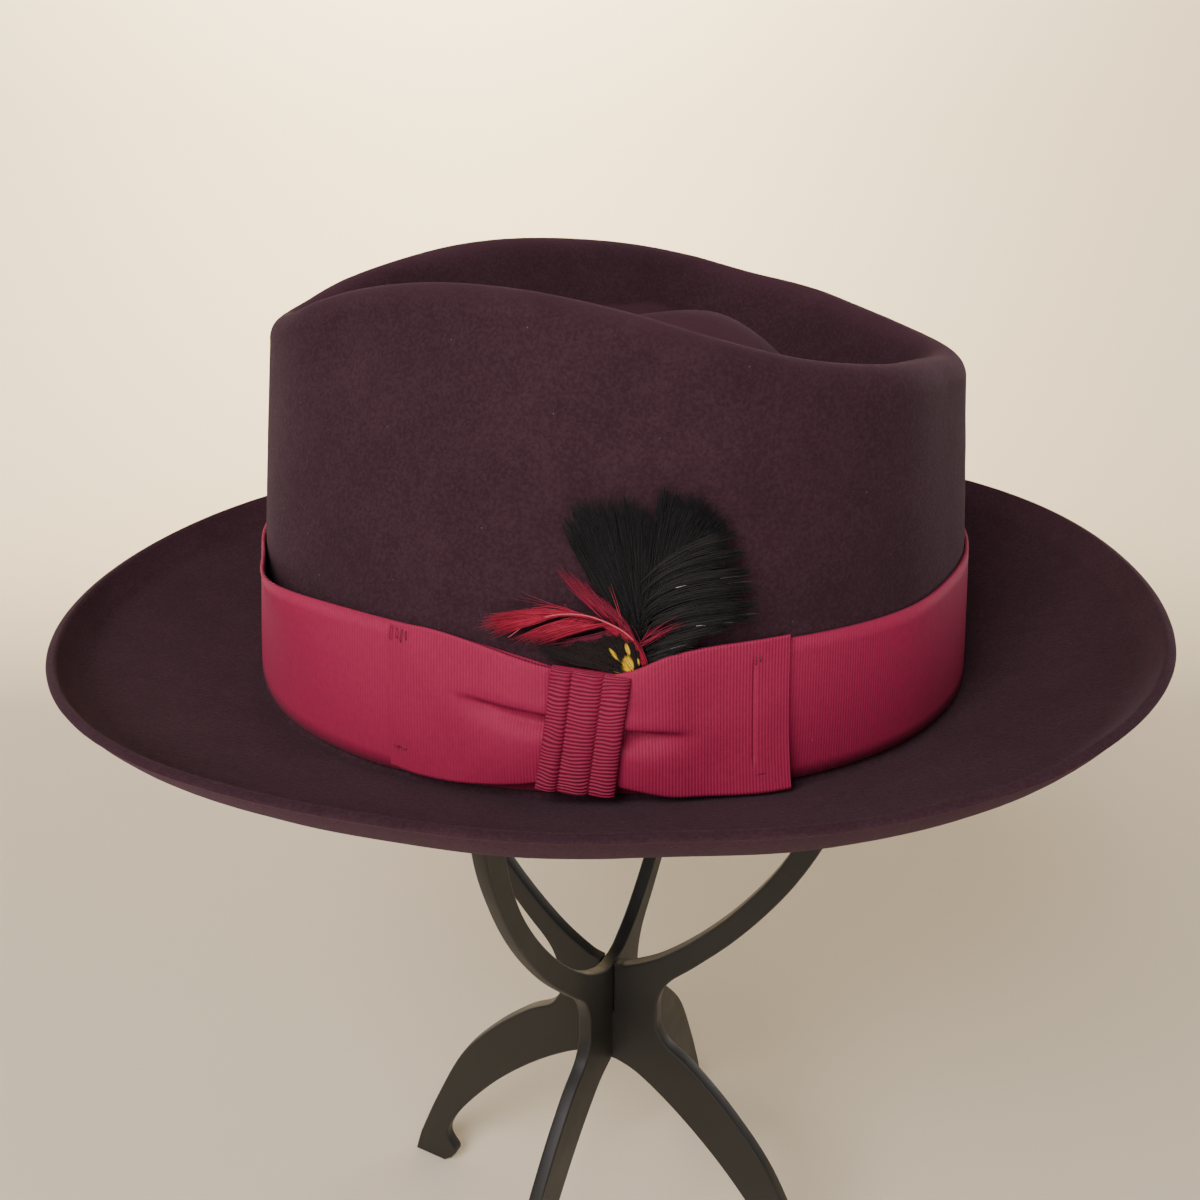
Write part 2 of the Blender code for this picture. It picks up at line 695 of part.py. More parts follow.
def stand_plate(name, turn, slots_from_above, finish, middle_x):
    outside = head_outline(HEAD_OUTSIDE)
    legs = leg_outline(LEG_OUTSIDE)
    sole = np.array(scaled(FOOT_SOLE, FOOT_RADIUS, HUB_HEIGHT))
    inside_leg = leg_outline(LEG_INSIDE)
    half = np.concatenate([outside[::-1], legs, sole, inside_leg])
    plate = prism(name, both_sides(half), PLATE_THICKNESS / 2, finish)
    spot = bpy.data.objects.new(name + "_spot", None)
    bpy.context.scene.collection.objects.link(spot)
    spot.location = (middle_x, STAND_SIDE_SHIFT, 0.0)
    spot.rotation_euler = (0.0, 0.0, turn)
    plate.parent = spot
    loop = head_outline(HEAD_INSIDE)
    cut(plate, prism(name + "_head_opening", both_sides(loop), PLATE_THICKNESS))
    top = HUB_HEIGHT + HEAD_HEIGHT
    levels = {
        "hub": (leg_outline(LEG_INSIDE)[-1][1], loop[0][1]),
        "crown": (loop[-1][1], top)}
    half_slot = PLATE_THICKNESS / 2 + SEAT_GAP
    for level, (low, high) in levels.items():
        middle = (low + high) / 2
        reach = high - low
        if slots_from_above:
            low, high = middle - SEAT_GAP / 2, high + reach
        else:
            low, high = low - reach, middle + SEAT_GAP / 2
        outline = [(-half_slot, low), (half_slot, low), (half_slot, high), (-half_slot, high)]
        cut(plate, prism(name + "_slot_" + level, outline, PLATE_THICKNESS))
    return plate


def crown_base_height():
    """Height at which the dented top's underside just clears the stand's head."""
    under = dense_underside()
    outline = head_outline(HEAD_OUTSIDE)[::-1]
    needed = []
    for turn in (STAND_TURN, STAND_TURN + math.pi / 2):
        level = under[:, :2] - (0.0, STAND_SIDE_SHIFT)
        reach = np.abs(level @ (math.cos(turn), math.sin(turn)))
        beside = np.abs(level @ (-math.sin(turn), math.cos(turn)))
        near = (beside < 0.85 * PLATE_THICKNESS) & (reach < 0.9 * head_radius())
        top = np.interp(reach[near], outline[:, 0], outline[:, 1])
        needed.append((top - under[near, 2]).max())
    return max(needed) + SEAT_GAP


def main():
    clear_scene()
    felt = material("felt", (0.052, 0.022, 0.030), 0.95)
    band = material("band_ribbon", (0.33, 0.030, 0.065), 0.75)
    bow = material("bow_ribbon", (0.36, 0.032, 0.070), 0.75)
    knot = material("knot_ribbon", (0.32, 0.028, 0.062), 0.75)
    black = material("black_plume", (0.012, 0.011, 0.010), 0.55)
    red = material("red_plume", (0.42, 0.014, 0.022), 0.6)
    spotted = material("spotted_plume", (0.030, 0.020, 0.012), 0.6)
    plastic = material("stand_plastic", (0.022, 0.020, 0.016), 0.5)
    place = np.array([-brim_middle(), 0.0, crown_base_height()])
    felt_solid(felt, place)
    ribbon_band(band, place)
    bow_panel("bow_front_panel", FRONT_PANEL, BOW_FRONT_X, 0.30, 0.0, bow, place)
    bow_panel("bow_rear_panel", REAR_PANEL, BOW_REAR_X, 0.0, TAIL_FLARE, bow, place)
    bow_knot(knot, place)
    black_feather(black, place)
    vane_solid("red_feather", RED_VANE, RED_LENGTH, 1, RED_LOCKS, red, place)
    vane_solid("spotted_feather", SPOTTED_VANE, SPOTTED_LENGTH, 2, SPOTTED_LOCKS, spotted, place)
    stand_plate("stand_plate_a", STAND_TURN, True, plastic, place[0])
    stand_plate("stand_plate_b", STAND_TURN + math.pi / 2, False, plastic, place[0])
    print("middle of the crown and its base", np.round(place / MM, 3), "mm")


main()
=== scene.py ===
# %% [markdown]
# This script dresses a felt fedora that rests on a plastic hat stand. The hard facts, such as
# where each piece lies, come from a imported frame. Everything here is about looks: the felt's
# nap, the ribbon's ribs, the bow's pleats, the feathers' barbs and the stand's moulded edges.

# %% Load the frame and remember its box
import math
import bpy
import numpy as np
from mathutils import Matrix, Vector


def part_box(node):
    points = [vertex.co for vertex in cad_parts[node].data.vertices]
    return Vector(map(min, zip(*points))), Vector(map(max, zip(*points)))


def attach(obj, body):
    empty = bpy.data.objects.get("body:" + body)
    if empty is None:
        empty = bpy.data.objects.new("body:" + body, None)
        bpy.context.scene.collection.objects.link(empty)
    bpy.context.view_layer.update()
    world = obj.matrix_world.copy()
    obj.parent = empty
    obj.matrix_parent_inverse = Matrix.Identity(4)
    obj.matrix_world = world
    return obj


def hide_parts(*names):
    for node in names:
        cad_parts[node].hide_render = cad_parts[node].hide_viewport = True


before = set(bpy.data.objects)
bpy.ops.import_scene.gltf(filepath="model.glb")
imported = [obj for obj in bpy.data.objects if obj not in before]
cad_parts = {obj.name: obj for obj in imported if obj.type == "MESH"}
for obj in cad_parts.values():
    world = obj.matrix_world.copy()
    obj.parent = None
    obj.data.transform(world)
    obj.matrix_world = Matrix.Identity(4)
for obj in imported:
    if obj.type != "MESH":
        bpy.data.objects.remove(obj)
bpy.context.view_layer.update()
MM = 0.001
print("frame nodes:", sorted(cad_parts))

# %% [markdown]
# The hat was shaped from a few sizes, and the finer surfaces below follow the same ones. The
# hat's front is -X and the side with the bow is -Y. The middle of the crown's foot is found
# from the frame: the stand's plates cross below it, and the ribbon band starts just above the
# fillet between the crown and the brim. Everything else is measured from that point.

# %% Sizes of the felt body
CROWN_HALF_LENGTH = 102.8 * MM
CROWN_HALF_WIDTH = 87.1 * MM
OVAL_FULLNESS = 0.02
FRONT_TRIM = 0.9 * MM
CROWN_HEIGHT = 113.3 * MM
CREST_INSET = 14.4 * MM
CREST_SHIFT = 1.6 * MM
CREST_RADIUS = 7.0 * MM
DENT_DEPTH = 22.0 * MM
DENT_SLOPE = math.radians(65.0)
GROOVE_RADIUS = 9.0 * MM
MOUND_HEIGHT = 100.0 * MM
MOUND_REACH = 66.0 * MM
MOUND_SOFTNESS = 5.0 * MM
MOUND_TAIL = 7.0 * MM
WALL_FULLNESS_END = 1.25
WALL_FULLNESS_SIDE = 1.85
BRIM_WIDTH = 50.0 * MM
BRIM_RISE_FRONT = 15.4 * MM
BRIM_RISE_BACK = 26.8 * MM
LIP_WIDTH = 9.0 * MM
LIP_HEIGHT = 6.5 * MM
JOIN_RADIUS = 2.2 * MM
FELT_THICKNESS = 2.2 * MM
SEAT_GAP = 0.3 * MM
RIBBON_WIDTH = 37.0 * MM
RIBBON_THICKNESS = 1.0 * MM
# The four tables run from the hat's back to its front in even turns, as shares of a size above.
CREST_GAPS = (0.0, 0.172, 0.352, 0.587, 0.701, 0.762, 0.682, 0.551, 0.406, 0.279, 0.197, 0.097,
              0.0)
CREST_HEIGHTS = (0.799, 0.803, 0.823, 0.851, 0.882, 0.930, 0.974, 0.998, 0.997, 0.972, 0.934,
                 0.891, 0.876)
BRIM_WIDTHS = (0.97, 1.01, 0.99, 0.90, 0.91, 1.04, 1.11)
BRIM_RISES = (1.00, 0.88, 0.68, 0.56, 0.42, 0.16, 0.00)
plate_low, plate_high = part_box("stand_plate_a")
crown_foot = np.array([(plate_low.x + plate_high.x) / 2, 0.0,
                       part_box("ribbon_band")[0].z - JOIN_RADIUS - SEAT_GAP])
print("middle of the crown's foot at", np.round(crown_foot / MM, 1), "mm")

# %% [markdown]
# The camera stands where the photographer stood: about a third of a metre in front of the bow
# and a little above the crown, looking down. It comes first, because every piece below is
# judged through it. The frame is square, so a sensor as wide as the lens formula asks gives
# the photograph's angle of view.

# %% Camera
CAMERA_OFFSET = (-3.28 * MM, -331.29 * MM, 160.81 * MM)
CAMERA_TILT = math.radians(23.97)
SENSOR_WIDTH = 36.0
FOCAL_PIXELS = 1203.0
FRAME_PIXELS = 1200.0


def place_camera():
    """The focal length in pixels over the picture's width gives the lens for a 36 mm sensor."""
    lens = bpy.data.cameras.new("view")
    lens.sensor_width = SENSOR_WIDTH
    lens.lens = SENSOR_WIDTH * FOCAL_PIXELS / FRAME_PIXELS
    lens.clip_start = 0.01
    camera = bpy.data.objects.new("view", lens)
    camera.location = crown_foot + CAMERA_OFFSET
    camera.rotation_euler = (math.pi / 2 - CAMERA_TILT, 0.0, 0.0)
    bpy.context.scene.collection.objects.link(camera)
    bpy.context.scene.camera = camera
    print("camera at", [round(value, 3) for value in camera.location])


place_camera()

# %% [markdown]
# Three small helpers carry the whole model. A grid of points becomes quads, two such grids
# become a thin closed sheet, and a soft random field, a sum of sine waves in seeded
# directions, gives the slow unevenness that handwork leaves.

# %% Mesh helpers
def grid_quads(rows, columns, start=0, closed=False):
    """Quads of a grid whose vertex number is start + row * columns + column."""
    spans = columns if closed else columns - 1
    row, column = np.meshgrid(np.arange(rows - 1), np.arange(spans), indexing="ij")
    after = (column + 1) % columns
    low, high = row * columns + start, (row + 1) * columns + start
    return np.stack([low + column, low + after, high + after, high + column], axis=-1).reshape(-1, 4)


def add_piece(name, points, faces, finish, replaced, uv=None, tint=None):
    """One mesh object that rides on the hat's only body."""
    mesh = bpy.data.meshes.new(name)
    mesh.from_pydata(np.asarray(points, float).reshape(-1, 3).tolist(), [], faces)
    mesh.shade_smooth()
    mesh.materials.append(finish)
    corner = np.zeros(len(mesh.loops), np.int32)
    mesh.loops.foreach_get("vertex_index", corner)
    if uv is not None:
        layer = mesh.uv_layers.new(name="cloth")
        layer.data.foreach_set("uv", np.asarray(uv, np.float32).reshape(-1, 2)[corner].ravel())
    if tint is not None:
        layer = mesh.color_attributes.new("tint", "FLOAT_COLOR", "POINT")
        shades = np.repeat(np.asarray(tint, np.float32).reshape(-1, 1), 4, axis=1)
        shades[:, 3] = 1.0
        layer.data.foreach_set("color", shades.ravel())
    piece = bpy.data.objects.new(name, mesh)
    bpy.context.scene.collection.objects.link(piece)
    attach(piece, "root")
    for node in replaced:
        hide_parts(node)
    print(name, len(mesh.vertices), "vertices,", len(mesh.polygons), "faces")
    return piece


def thin_sheet(front, back, closed=False):
    """Points and quads of the closed skin round two grids, the front one facing outwards."""
    rows, columns = front.shape[:2]
    behind = rows * columns
    faces = [grid_quads(rows, columns, 0, closed), grid_quads(rows, columns, behind, closed)[:, ::-1]]
    column = np.arange(columns if closed else columns - 1)
    after = (column + 1) % columns
    top = (rows - 1) * columns
    far = behind + top
    faces.append(np.stack([behind + column, behind + after, after, column], axis=-1))
    faces.append(np.stack([top + column, top + after, far + after, far + column], axis=-1))
    if not closed:
        low = np.arange(rows - 1) * columns
        high = low + columns
        end = columns - 1
        faces.append(np.stack([low, high, behind + high, behind + low], axis=-1))
        faces.append(np.stack([low + end, behind + low + end, behind + high + end, high + end], axis=-1))
    points = np.concatenate([front.reshape(-1, 3), back.reshape(-1, 3)])
    return points, np.concatenate(faces).tolist()


def soft_noise(points, wavelength, seed):
    """Sum of sine waves over the root of their number, drawn with the seed; about -1 to 1."""
    waves = 14
    draw = np.random.default_rng(seed)
    pushes = draw.normal(size=(waves, 3))
    pushes *= 2 * math.pi / wavelength / np.linalg.norm(pushes, axis=1, keepdims=True)
    pushes *= draw.uniform(0.6, 1.5, (waves, 1))
    phases = draw.uniform(0, 2 * math.pi, waves)
    return np.sin(points @ pushes.T + phases).sum(axis=-1) / math.sqrt(waves)


def unit(vectors):
    """Each vector over its own length."""
    return vectors / np.maximum(np.linalg.norm(vectors, axis=-1, keepdims=True), 1e-12)


def smooth_step(value):
    """Three times the square minus twice the cube, of the value held between 0 and 1."""
    value = np.clip(value, 0.0, 1.0)
    return value * value * (3.0 - 2.0 * value)


def table_curve(place, stations, values):
    """Cubic Hermite curve through the rows of a short table."""
    stations, values = np.asarray(stations, float), np.asarray(values, float)
    slopes = np.gradient(values, stations)
    place = np.clip(place, stations[0], stations[-1])
    row = np.clip(np.searchsorted(stations, place) - 1, 0, len(stations) - 2)
    step = stations[row + 1] - stations[row]
    t = (place - stations[row]) / step
    return (values[row] * (1 + 2 * t) * (1 - t) ** 2 + values[row + 1] * t * t * (3 - 2 * t)
            + step * (slopes[row] * t * (1 - t) ** 2 - slopes[row + 1] * t * t * (1 - t)))


print("helpers ready")

# %% [markdown]
# A felt crown is blocked over a wooden form: the foot is an oval, the top is a teardrop dent
# with a rounded crest, and the wall leans from one to the other. So the wall is a blend
# between two closed curves, the crest is an arc, and the dent is a fall that depends only on
# the distance from the crest. The same functions later carry the ribbon and the feathers.

# %% Crown wall, crest and dent
def ring_curve(angle, values):
    """Closed smooth curve through evenly spaced values, one turn for all of them."""
    values = np.asarray(values, float)
    place = np.asarray(angle, float) / (2 * math.pi) * len(values)
    start = np.floor(place).astype(int)
    t = place - start
    before, here, after, beyond = (values[(start + k) % len(values)] for k in (-1, 0, 1, 2))
    return 0.5 * (2 * here + (after - before) * t
                  + (2 * before - 5 * here + 4 * after - beyond) * t * t
                  + (3 * here - before - 3 * after + beyond) * t ** 3)


def front_trim(angle):
    """The front is flatter than the back by FRONT_TRIM times the squared cosine."""
    return FRONT_TRIM * np.minimum(np.cos(angle), 0.0) ** 2


def crest_point(angle):
    """The teardrop crest: X by a cosine, the half-gap and the height by their tables."""
    gaps = list(CREST_GAPS) + [-gap for gap in CREST_GAPS[-2:0:-1]]
    heights = both_sides(CREST_HEIGHTS)
    return np.stack([
        CREST_SHIFT + (CROWN_HALF_LENGTH - CREST_INSET) * np.cos(angle) + front_trim(angle),
        CROWN_HALF_WIDTH * ring_curve(angle, gaps),
        CROWN_HEIGHT * ring_curve(angle, heights)], axis=-1)


def crest_outward(angle):
    """Level unit vector square to the crest, pointing away from the dent."""
    along = crest_point(angle + 0.02) - crest_point(angle - 0.02)
    return unit(np.stack([along[..., 1], -along[..., 0], 0 * along[..., 0]], axis=-1))


def oval_point(angle, margin=0.0):
    """An ellipse times 1 + fullness sin^2(2 angle), grown outwards by a margin."""
    full = 1.0 + OVAL_FULLNESS * np.sin(2 * angle) ** 2
    return np.stack([(CROWN_HALF_LENGTH * full + margin) * np.cos(angle) + front_trim(angle),
                     (CROWN_HALF_WIDTH * full + margin) * np.sin(angle),
                     0.0 * np.cos(angle)], axis=-1)


def wall_on_felt(angle, height):
    """Foot plus (shoulder minus foot) times (height over shoulder height) to a power."""
    angle, height = np.broadcast_arrays(np.asarray(angle, float), np.asarray(height, float))
    shoulder = crest_point(angle) + CREST_RADIUS * crest_outward(angle)
    top = shoulder[..., 2] - CREST_RADIUS
    fullness = WALL_FULLNESS_END + (WALL_FULLNESS_SIDE - WALL_FULLNESS_END) * np.sin(angle) ** 2
    lean = np.clip(height / top, 0.0, 1.0) ** fullness
    foot = oval_point(angle)
    point = foot + (shoulder - foot) * lean[..., None]
    point[..., 2] = height
    return point


def wall_point(angle, height, offset):
    """A point that stands off the wall along its outward normal."""
    around = wall_on_felt(angle + 0.01, height) - wall_on_felt(angle - 0.01, height)
    upward = wall_on_felt(angle, height + 1.0 * MM) - wall_on_felt(angle, height)
    normal = unit(np.cross(around, upward))
    return wall_on_felt(angle, height) + normal * np.asarray(offset, float)[..., None]


def dent_drop(distance):
    """Fall inside the crest: a convex arc, a straight slope, then the groove's concave arc."""
    crest_end = CREST_RADIUS * math.sin(DENT_SLOPE)
    arcs_drop = (CREST_RADIUS + GROOVE_RADIUS) * (1 - math.cos(DENT_SLOPE))
    slope_drop = DENT_DEPTH - arcs_drop
    slope_end = crest_end + slope_drop / math.tan(DENT_SLOPE)
    groove = slope_end + GROOVE_RADIUS * math.sin(DENT_SLOPE)
    on_crest = CREST_RADIUS - np.sqrt(np.maximum(CREST_RADIUS ** 2 - distance ** 2, 0.0))
    on_slope = (CREST_RADIUS * (1 - math.cos(DENT_SLOPE))
                + (distance - crest_end) * math.tan(DENT_SLOPE))
    left = np.clip(groove - distance, 0.0, None)
    on_groove = (arcs_drop + slope_drop - GROOVE_RADIUS
                 + np.sqrt(np.maximum(GROOVE_RADIUS ** 2 - left ** 2, 0.0)))
    drop = np.where(distance < crest_end, on_crest, on_slope)
    return np.where(distance < slope_end, drop, on_groove), groove


def dent_height(x, y):
    """Crest height minus the fall, swelling again to a mound whose edges are averaged soft."""
    ring = crest_point(np.linspace(0, 2 * math.pi, 900, endpoint=False))
    gaps = np.hypot(np.asarray(x)[..., None] - ring[:, 0], np.asarray(y)[..., None] - ring[:, 1])
    nearest, distance = gaps.argmin(axis=-1), gaps.min(axis=-1)
    weight = np.exp((distance[..., None] - gaps) / MOUND_SOFTNESS)
    weight /= weight.sum(axis=-1, keepdims=True)
    drop, groove = dent_drop(distance)
    inner = smooth_step((distance - 0.7 * groove) / (0.6 * groove))
    rim = ring[nearest, 2] * (1 - inner) + (weight * ring[:, 2]).sum(axis=-1) * inner
    inwards = (weight * gaps).sum(axis=-1) + MOUND_TAIL * smooth_step(np.asarray(x) / (45.0 * MM))
    swell = smooth_step((inwards - 1.25 * groove) / (MOUND_REACH - groove))
    floor = rim - drop
    return floor + (MOUND_HEIGHT - floor) * swell


def both_sides(values):
    """Values from the hat's back to its front, and the same again on the other side."""
    return list(values) + list(values[-2:0:-1])


def brim_width(angle):
    """The usual width times the table's share at that angle."""
    return BRIM_WIDTH * ring_curve(angle, both_sides(BRIM_WIDTHS))


def brim_height(angle, share):
    """A shallow dish that rises towards the hat's back, with a raised lip."""
    edge = (BRIM_RISE_FRONT + (BRIM_RISE_BACK - BRIM_RISE_FRONT)
            * ring_curve(angle, both_sides(BRIM_RISES)))
    lip_start = 1.0 - LIP_WIDTH / brim_width(angle)
    lip = np.clip((share - lip_start) / (1.0 - lip_start), 0.0, 1.0) ** 2
    return (edge - LIP_HEIGHT) * share ** 1.1 + LIP_HEIGHT * lip


print("crest highest at", round(crest_point(np.linspace(0, 7, 99))[:, 2].max() / MM, 1), "mm")

# %% [markdown]
# The felt body itself is one grid: rings from the brim's edge inwards, up the wall, over the
# crest and down into the dent, closed by one point in the middle. The inside is the same grid
# moved in by the felt's thickness, and a few rings round off the cut edge of the brim. Slow
# noise keeps the surface from looking turned on a lathe.

# %% Felt body
FELT_COLUMNS = 300
EDGE_TURNS = (30.0, 60.0, 90.0, 120.0, 150.0)
JOIN_TURNS = (22.5, 45.0, 67.5)
LIP_ROWS, DISH_ROWS, WALL_ROWS, CREST_ROWS, GROOVE_ROWS, FLOOR_ROWS = 13, 26, 37, 12, 26, 22
GROOVE_REACH = 1.1
CREST_ROW = len(EDGE_TURNS) + LIP_ROWS + DISH_ROWS + len(JOIN_TURNS) + WALL_ROWS + CREST_ROWS
MOUND_ROW = CREST_ROW + 16
SLOW_WAVE, SLOW_DEPTH = 70.0 * MM, 0.28 * MM
HAND_WAVE, HAND_DEPTH = 18.0 * MM, 0.035 * MM
NAP_WAVE, NAP_DEPTH = 3.5 * MM, 0.012 * MM
CALM_HEIGHT, CALM_REACH = 20.0 * MM, 16.0 * MM
# Brim-edge wear, and the strength of the painted highlight on the mound.
EDGE_WEAR, MOUND_HIGHLIGHT = 0.18, 1.1


def felt_rings(angle):
    """The felt's outside as a stack of rings, from the brim's edge to near the middle."""
    rings = []
    width = brim_width(angle)
    lip_start = 1.0 - LIP_WIDTH / width
    shares = np.concatenate([np.linspace(1.0 + 0 * width, lip_start, LIP_ROWS + 1),
                             np.linspace(lip_start, JOIN_RADIUS / width, DISH_ROWS)[1:]])
    for share in shares:
        ring = oval_point(angle, width * share)
        ring[..., 2] = brim_height(angle, share)
        rings.append(ring)
    start = rings[-1][..., 2]
    for bend in np.radians(JOIN_TURNS):
        ring = oval_point(angle, JOIN_RADIUS * (1 - math.sin(bend)))
        ring[..., 2] = start * (1 - math.sin(bend)) + JOIN_RADIUS * (1 - math.cos(bend))
        rings.append(ring)
    shoulder_top = crest_point(angle)[..., 2] - CREST_RADIUS
    for share in np.linspace(0.0, 1.0, WALL_ROWS + 1)[:-1]:
        rings.append(wall_on_felt(angle, JOIN_RADIUS + share * (shoulder_top - JOIN_RADIUS)))
    for turn in np.radians(np.linspace(90.0, 0.0, CREST_ROWS)):
        ring = crest_point(angle) + CREST_RADIUS * math.sin(turn) * crest_outward(angle)
        ring[..., 2] -= CREST_RADIUS * (1 - math.cos(turn))
        rings.append(ring)
    crest = crest_point(angle)
    inward = np.array([CREST_SHIFT, 0.0, 0.0]) - crest
    inward[..., 2] = 0.0
    reach = np.linalg.norm(inward, axis=-1)
    groove = float(dent_drop(np.zeros(1))[1])
    for share in np.linspace(0.0, GROOVE_REACH, GROOVE_ROWS + 1)[1:]:
        ring = crest + unit(inward) * share * groove
        ring[..., 2] = dent_height(ring[..., 0], ring[..., 1])
        rings.append(ring)
    for share in np.linspace(0.0, 1.0, FLOOR_ROWS + 2)[1:-1]:
        ring = crest + unit(inward) * (GROOVE_REACH * groove
                                       + share * (reach - GROOVE_REACH * groove))[..., None]
        ring[..., 2] = dent_height(ring[..., 0], ring[..., 1])
        rings.append(ring)
    return np.array(rings)


def felt_grids():
    """The rings plus noise along their normal, calm under the band, and the same moved in."""
    angle = np.linspace(0, 2 * math.pi, FELT_COLUMNS, endpoint=False)
    outside = felt_rings(angle)
    around = np.roll(outside, -1, axis=1) - np.roll(outside, 1, axis=1)
    normal = unit(np.cross(around, np.gradient(outside, axis=0)))
    slow = soft_noise(outside, SLOW_WAVE, 3) * SLOW_DEPTH
    hand = soft_noise(outside, HAND_WAVE, 4) * HAND_DEPTH
    nap = soft_noise(outside, NAP_WAVE, 5) * NAP_DEPTH
    near_band = np.exp(-((outside[..., 2] - CALM_HEIGHT) / CALM_REACH) ** 2)
    on_wall = np.hypot(outside[..., 0] / CROWN_HALF_LENGTH,
                       outside[..., 1] / CROWN_HALF_WIDTH) < 1.02
    calm = 1.0 - 0.95 * near_band * on_wall
    outside = outside + normal * ((slow + hand) * calm + nap)[..., None]
    inside = outside - FELT_THICKNESS * normal
    return outside, inside


def wear_and_highlight_mask(level, first):
    """Brim-edge wear, crest wear plus painted highlight, painted mound highlight; outside rows start at
    first.
    """
    # The crest is lighter from wear and from a painted highlight.
    crest = np.exp(-((np.arange(len(level)) - first - CREST_ROW) / 5.0) ** 2)
    worn_and_lit = crest[:, None] * (level > 0.7 * CROWN_HEIGHT)
    worn_and_lit[first - 6:first + 12] += EDGE_WEAR
    # The mound is lighter only as a painted highlight.
    mound = first + MOUND_ROW
    worn_and_lit[mound:] += MOUND_HIGHLIGHT * smooth_step((level[mound:] / CROWN_HEIGHT - 0.72) / 0.12)
    return worn_and_lit


def make_felt(finish):
    """Inside, rounded edge and outside as one grid, each closed by a point in the dent."""
    outside, inside = felt_grids()
    middle, half = (outside[0] + inside[0]) / 2, (outside[0] - inside[0]) / 2
    away = unit(outside[0] * (1.0, 1.0, 0.0)) * FELT_THICKNESS / 2
    edge = np.array([middle + half * math.cos(turn) + away * math.sin(turn)
                     for turn in np.radians(EDGE_TURNS[::-1])])
    skin = np.concatenate([inside[::-1], edge, outside])
    top = np.array([[CREST_SHIFT, 0.0, dent_height(CREST_SHIFT, 0.0)]])
    points = np.concatenate([skin.reshape(-1, 3), top, top - (0.0, 0.0, FELT_THICKNESS)])
    count = skin.shape[0] * FELT_COLUMNS
    column = np.arange(FELT_COLUMNS)
    after = (column + 1) % FELT_COLUMNS
    last = count - FELT_COLUMNS
    faces = grid_quads(skin.shape[0], FELT_COLUMNS, 0, True).tolist()
    faces += np.stack([last + column, last + after, np.full_like(column, count)], axis=-1).tolist()
    faces += np.stack([after, column, np.full_like(column, count + 1)], axis=-1).tolist()
    tint = np.concatenate([wear_and_highlight_mask(skin[..., 2], len(inside)).ravel(), [0.0, 0.0]])
    return add_piece("felt_hat", points + crown_foot, faces, finish, ["felt_body"],
                     tint=tint)


print("rings from the brim's edge to the crest:", CREST_ROW)

# %% [markdown]
# Four effects are shared by several finishes, so each is a node group. Nap gives felt its cloudy colour
# and a fine grain. Ribs draws grosgrain from the cloth's own UV map, whose U runs along the ribbon in
# millimetres, and paints shade into the hollows between the ribs. Lint scatters tiny pale specks that
# any felt or ribbon collects. Tint turns the shade painted on each feather's barbs into a colour.

# %% Node helpers and shared groups
COLOR, NUMBER = "NodeSocketColor", "NodeSocketFloat"
BLACK = (0.0, 0.0, 0.0, 1.0)
WHITE = (1.0, 1.0, 1.0, 1.0)
LINT_COLOR = (0.55, 0.48, 0.46, 1.0)
CLOUD_SCALE, FINE_SCALE, COARSE_SCALE = 55.0, 1100.0, 260.0
FINE_SHARE, CLOUD_SHADE = 0.80, 0.13
THREAD_PITCH = 0.28


def new_group(name, inputs, outputs):
    """An empty shader node group with named sockets, each given as its name and type."""
    group = bpy.data.node_groups.new(name, "ShaderNodeTree")
    for label, kind in inputs:
        group.interface.new_socket(label, in_out="INPUT", socket_type=kind)
    for label, kind in outputs:
        group.interface.new_socket(label, in_out="OUTPUT", socket_type=kind)
    return group, group.nodes.new("NodeGroupInput"), group.nodes.new("NodeGroupOutput")


def wire(tree, source, target):
    tree.links.new(source, target)


def math_node(tree, operation, first, second=None, third=None, clamp=False):
    """A maths node whose values are numbers or wired outputs."""
    node = tree.nodes.new("ShaderNodeMath")
    node.operation = operation
    node.use_clamp = clamp
    for index, value in enumerate((first, second, third)):
        if value is None:
            continue
        if isinstance(value, (int, float)):
            node.inputs[index].default_value = value
        else:
            wire(tree, value, node.inputs[index])
    return node.outputs[0]


def mix_color(tree, share, first, second):
    """The first colour at share 0 and the second at share 1."""
    node = tree.nodes.new("ShaderNodeMix")
    node.data_type = "RGBA"
    factor, low, high = node.inputs[0], node.inputs[6], node.inputs[7]
    for socket, value in ((factor, share), (low, first), (high, second)):
        if isinstance(value, (int, float, tuple)):
            socket.default_value = value
        else:
            wire(tree, value, socket)
    return node.outputs[2]


def noise_node(tree, vector, scale, detail, roughness=0.55):
    node = tree.nodes.new("ShaderNodeTexNoise")
    node.inputs["Scale"].default_value = scale
    node.inputs["Detail"].default_value = detail
    node.inputs["Roughness"].default_value = roughness
    wire(tree, vector, node.inputs["Vector"])
    return node.outputs["Fac"]


def remap(tree, value, low, high, to_low=0.0, to_high=1.0):
    """The range from low to high stretched to a new one, held at its ends."""
    node = tree.nodes.new("ShaderNodeMapRange")
    for index, number in enumerate((low, high, to_low, to_high)):
        node.inputs[index + 1].default_value = number
    wire(tree, value, node.inputs[0])
    return node.outputs[0]


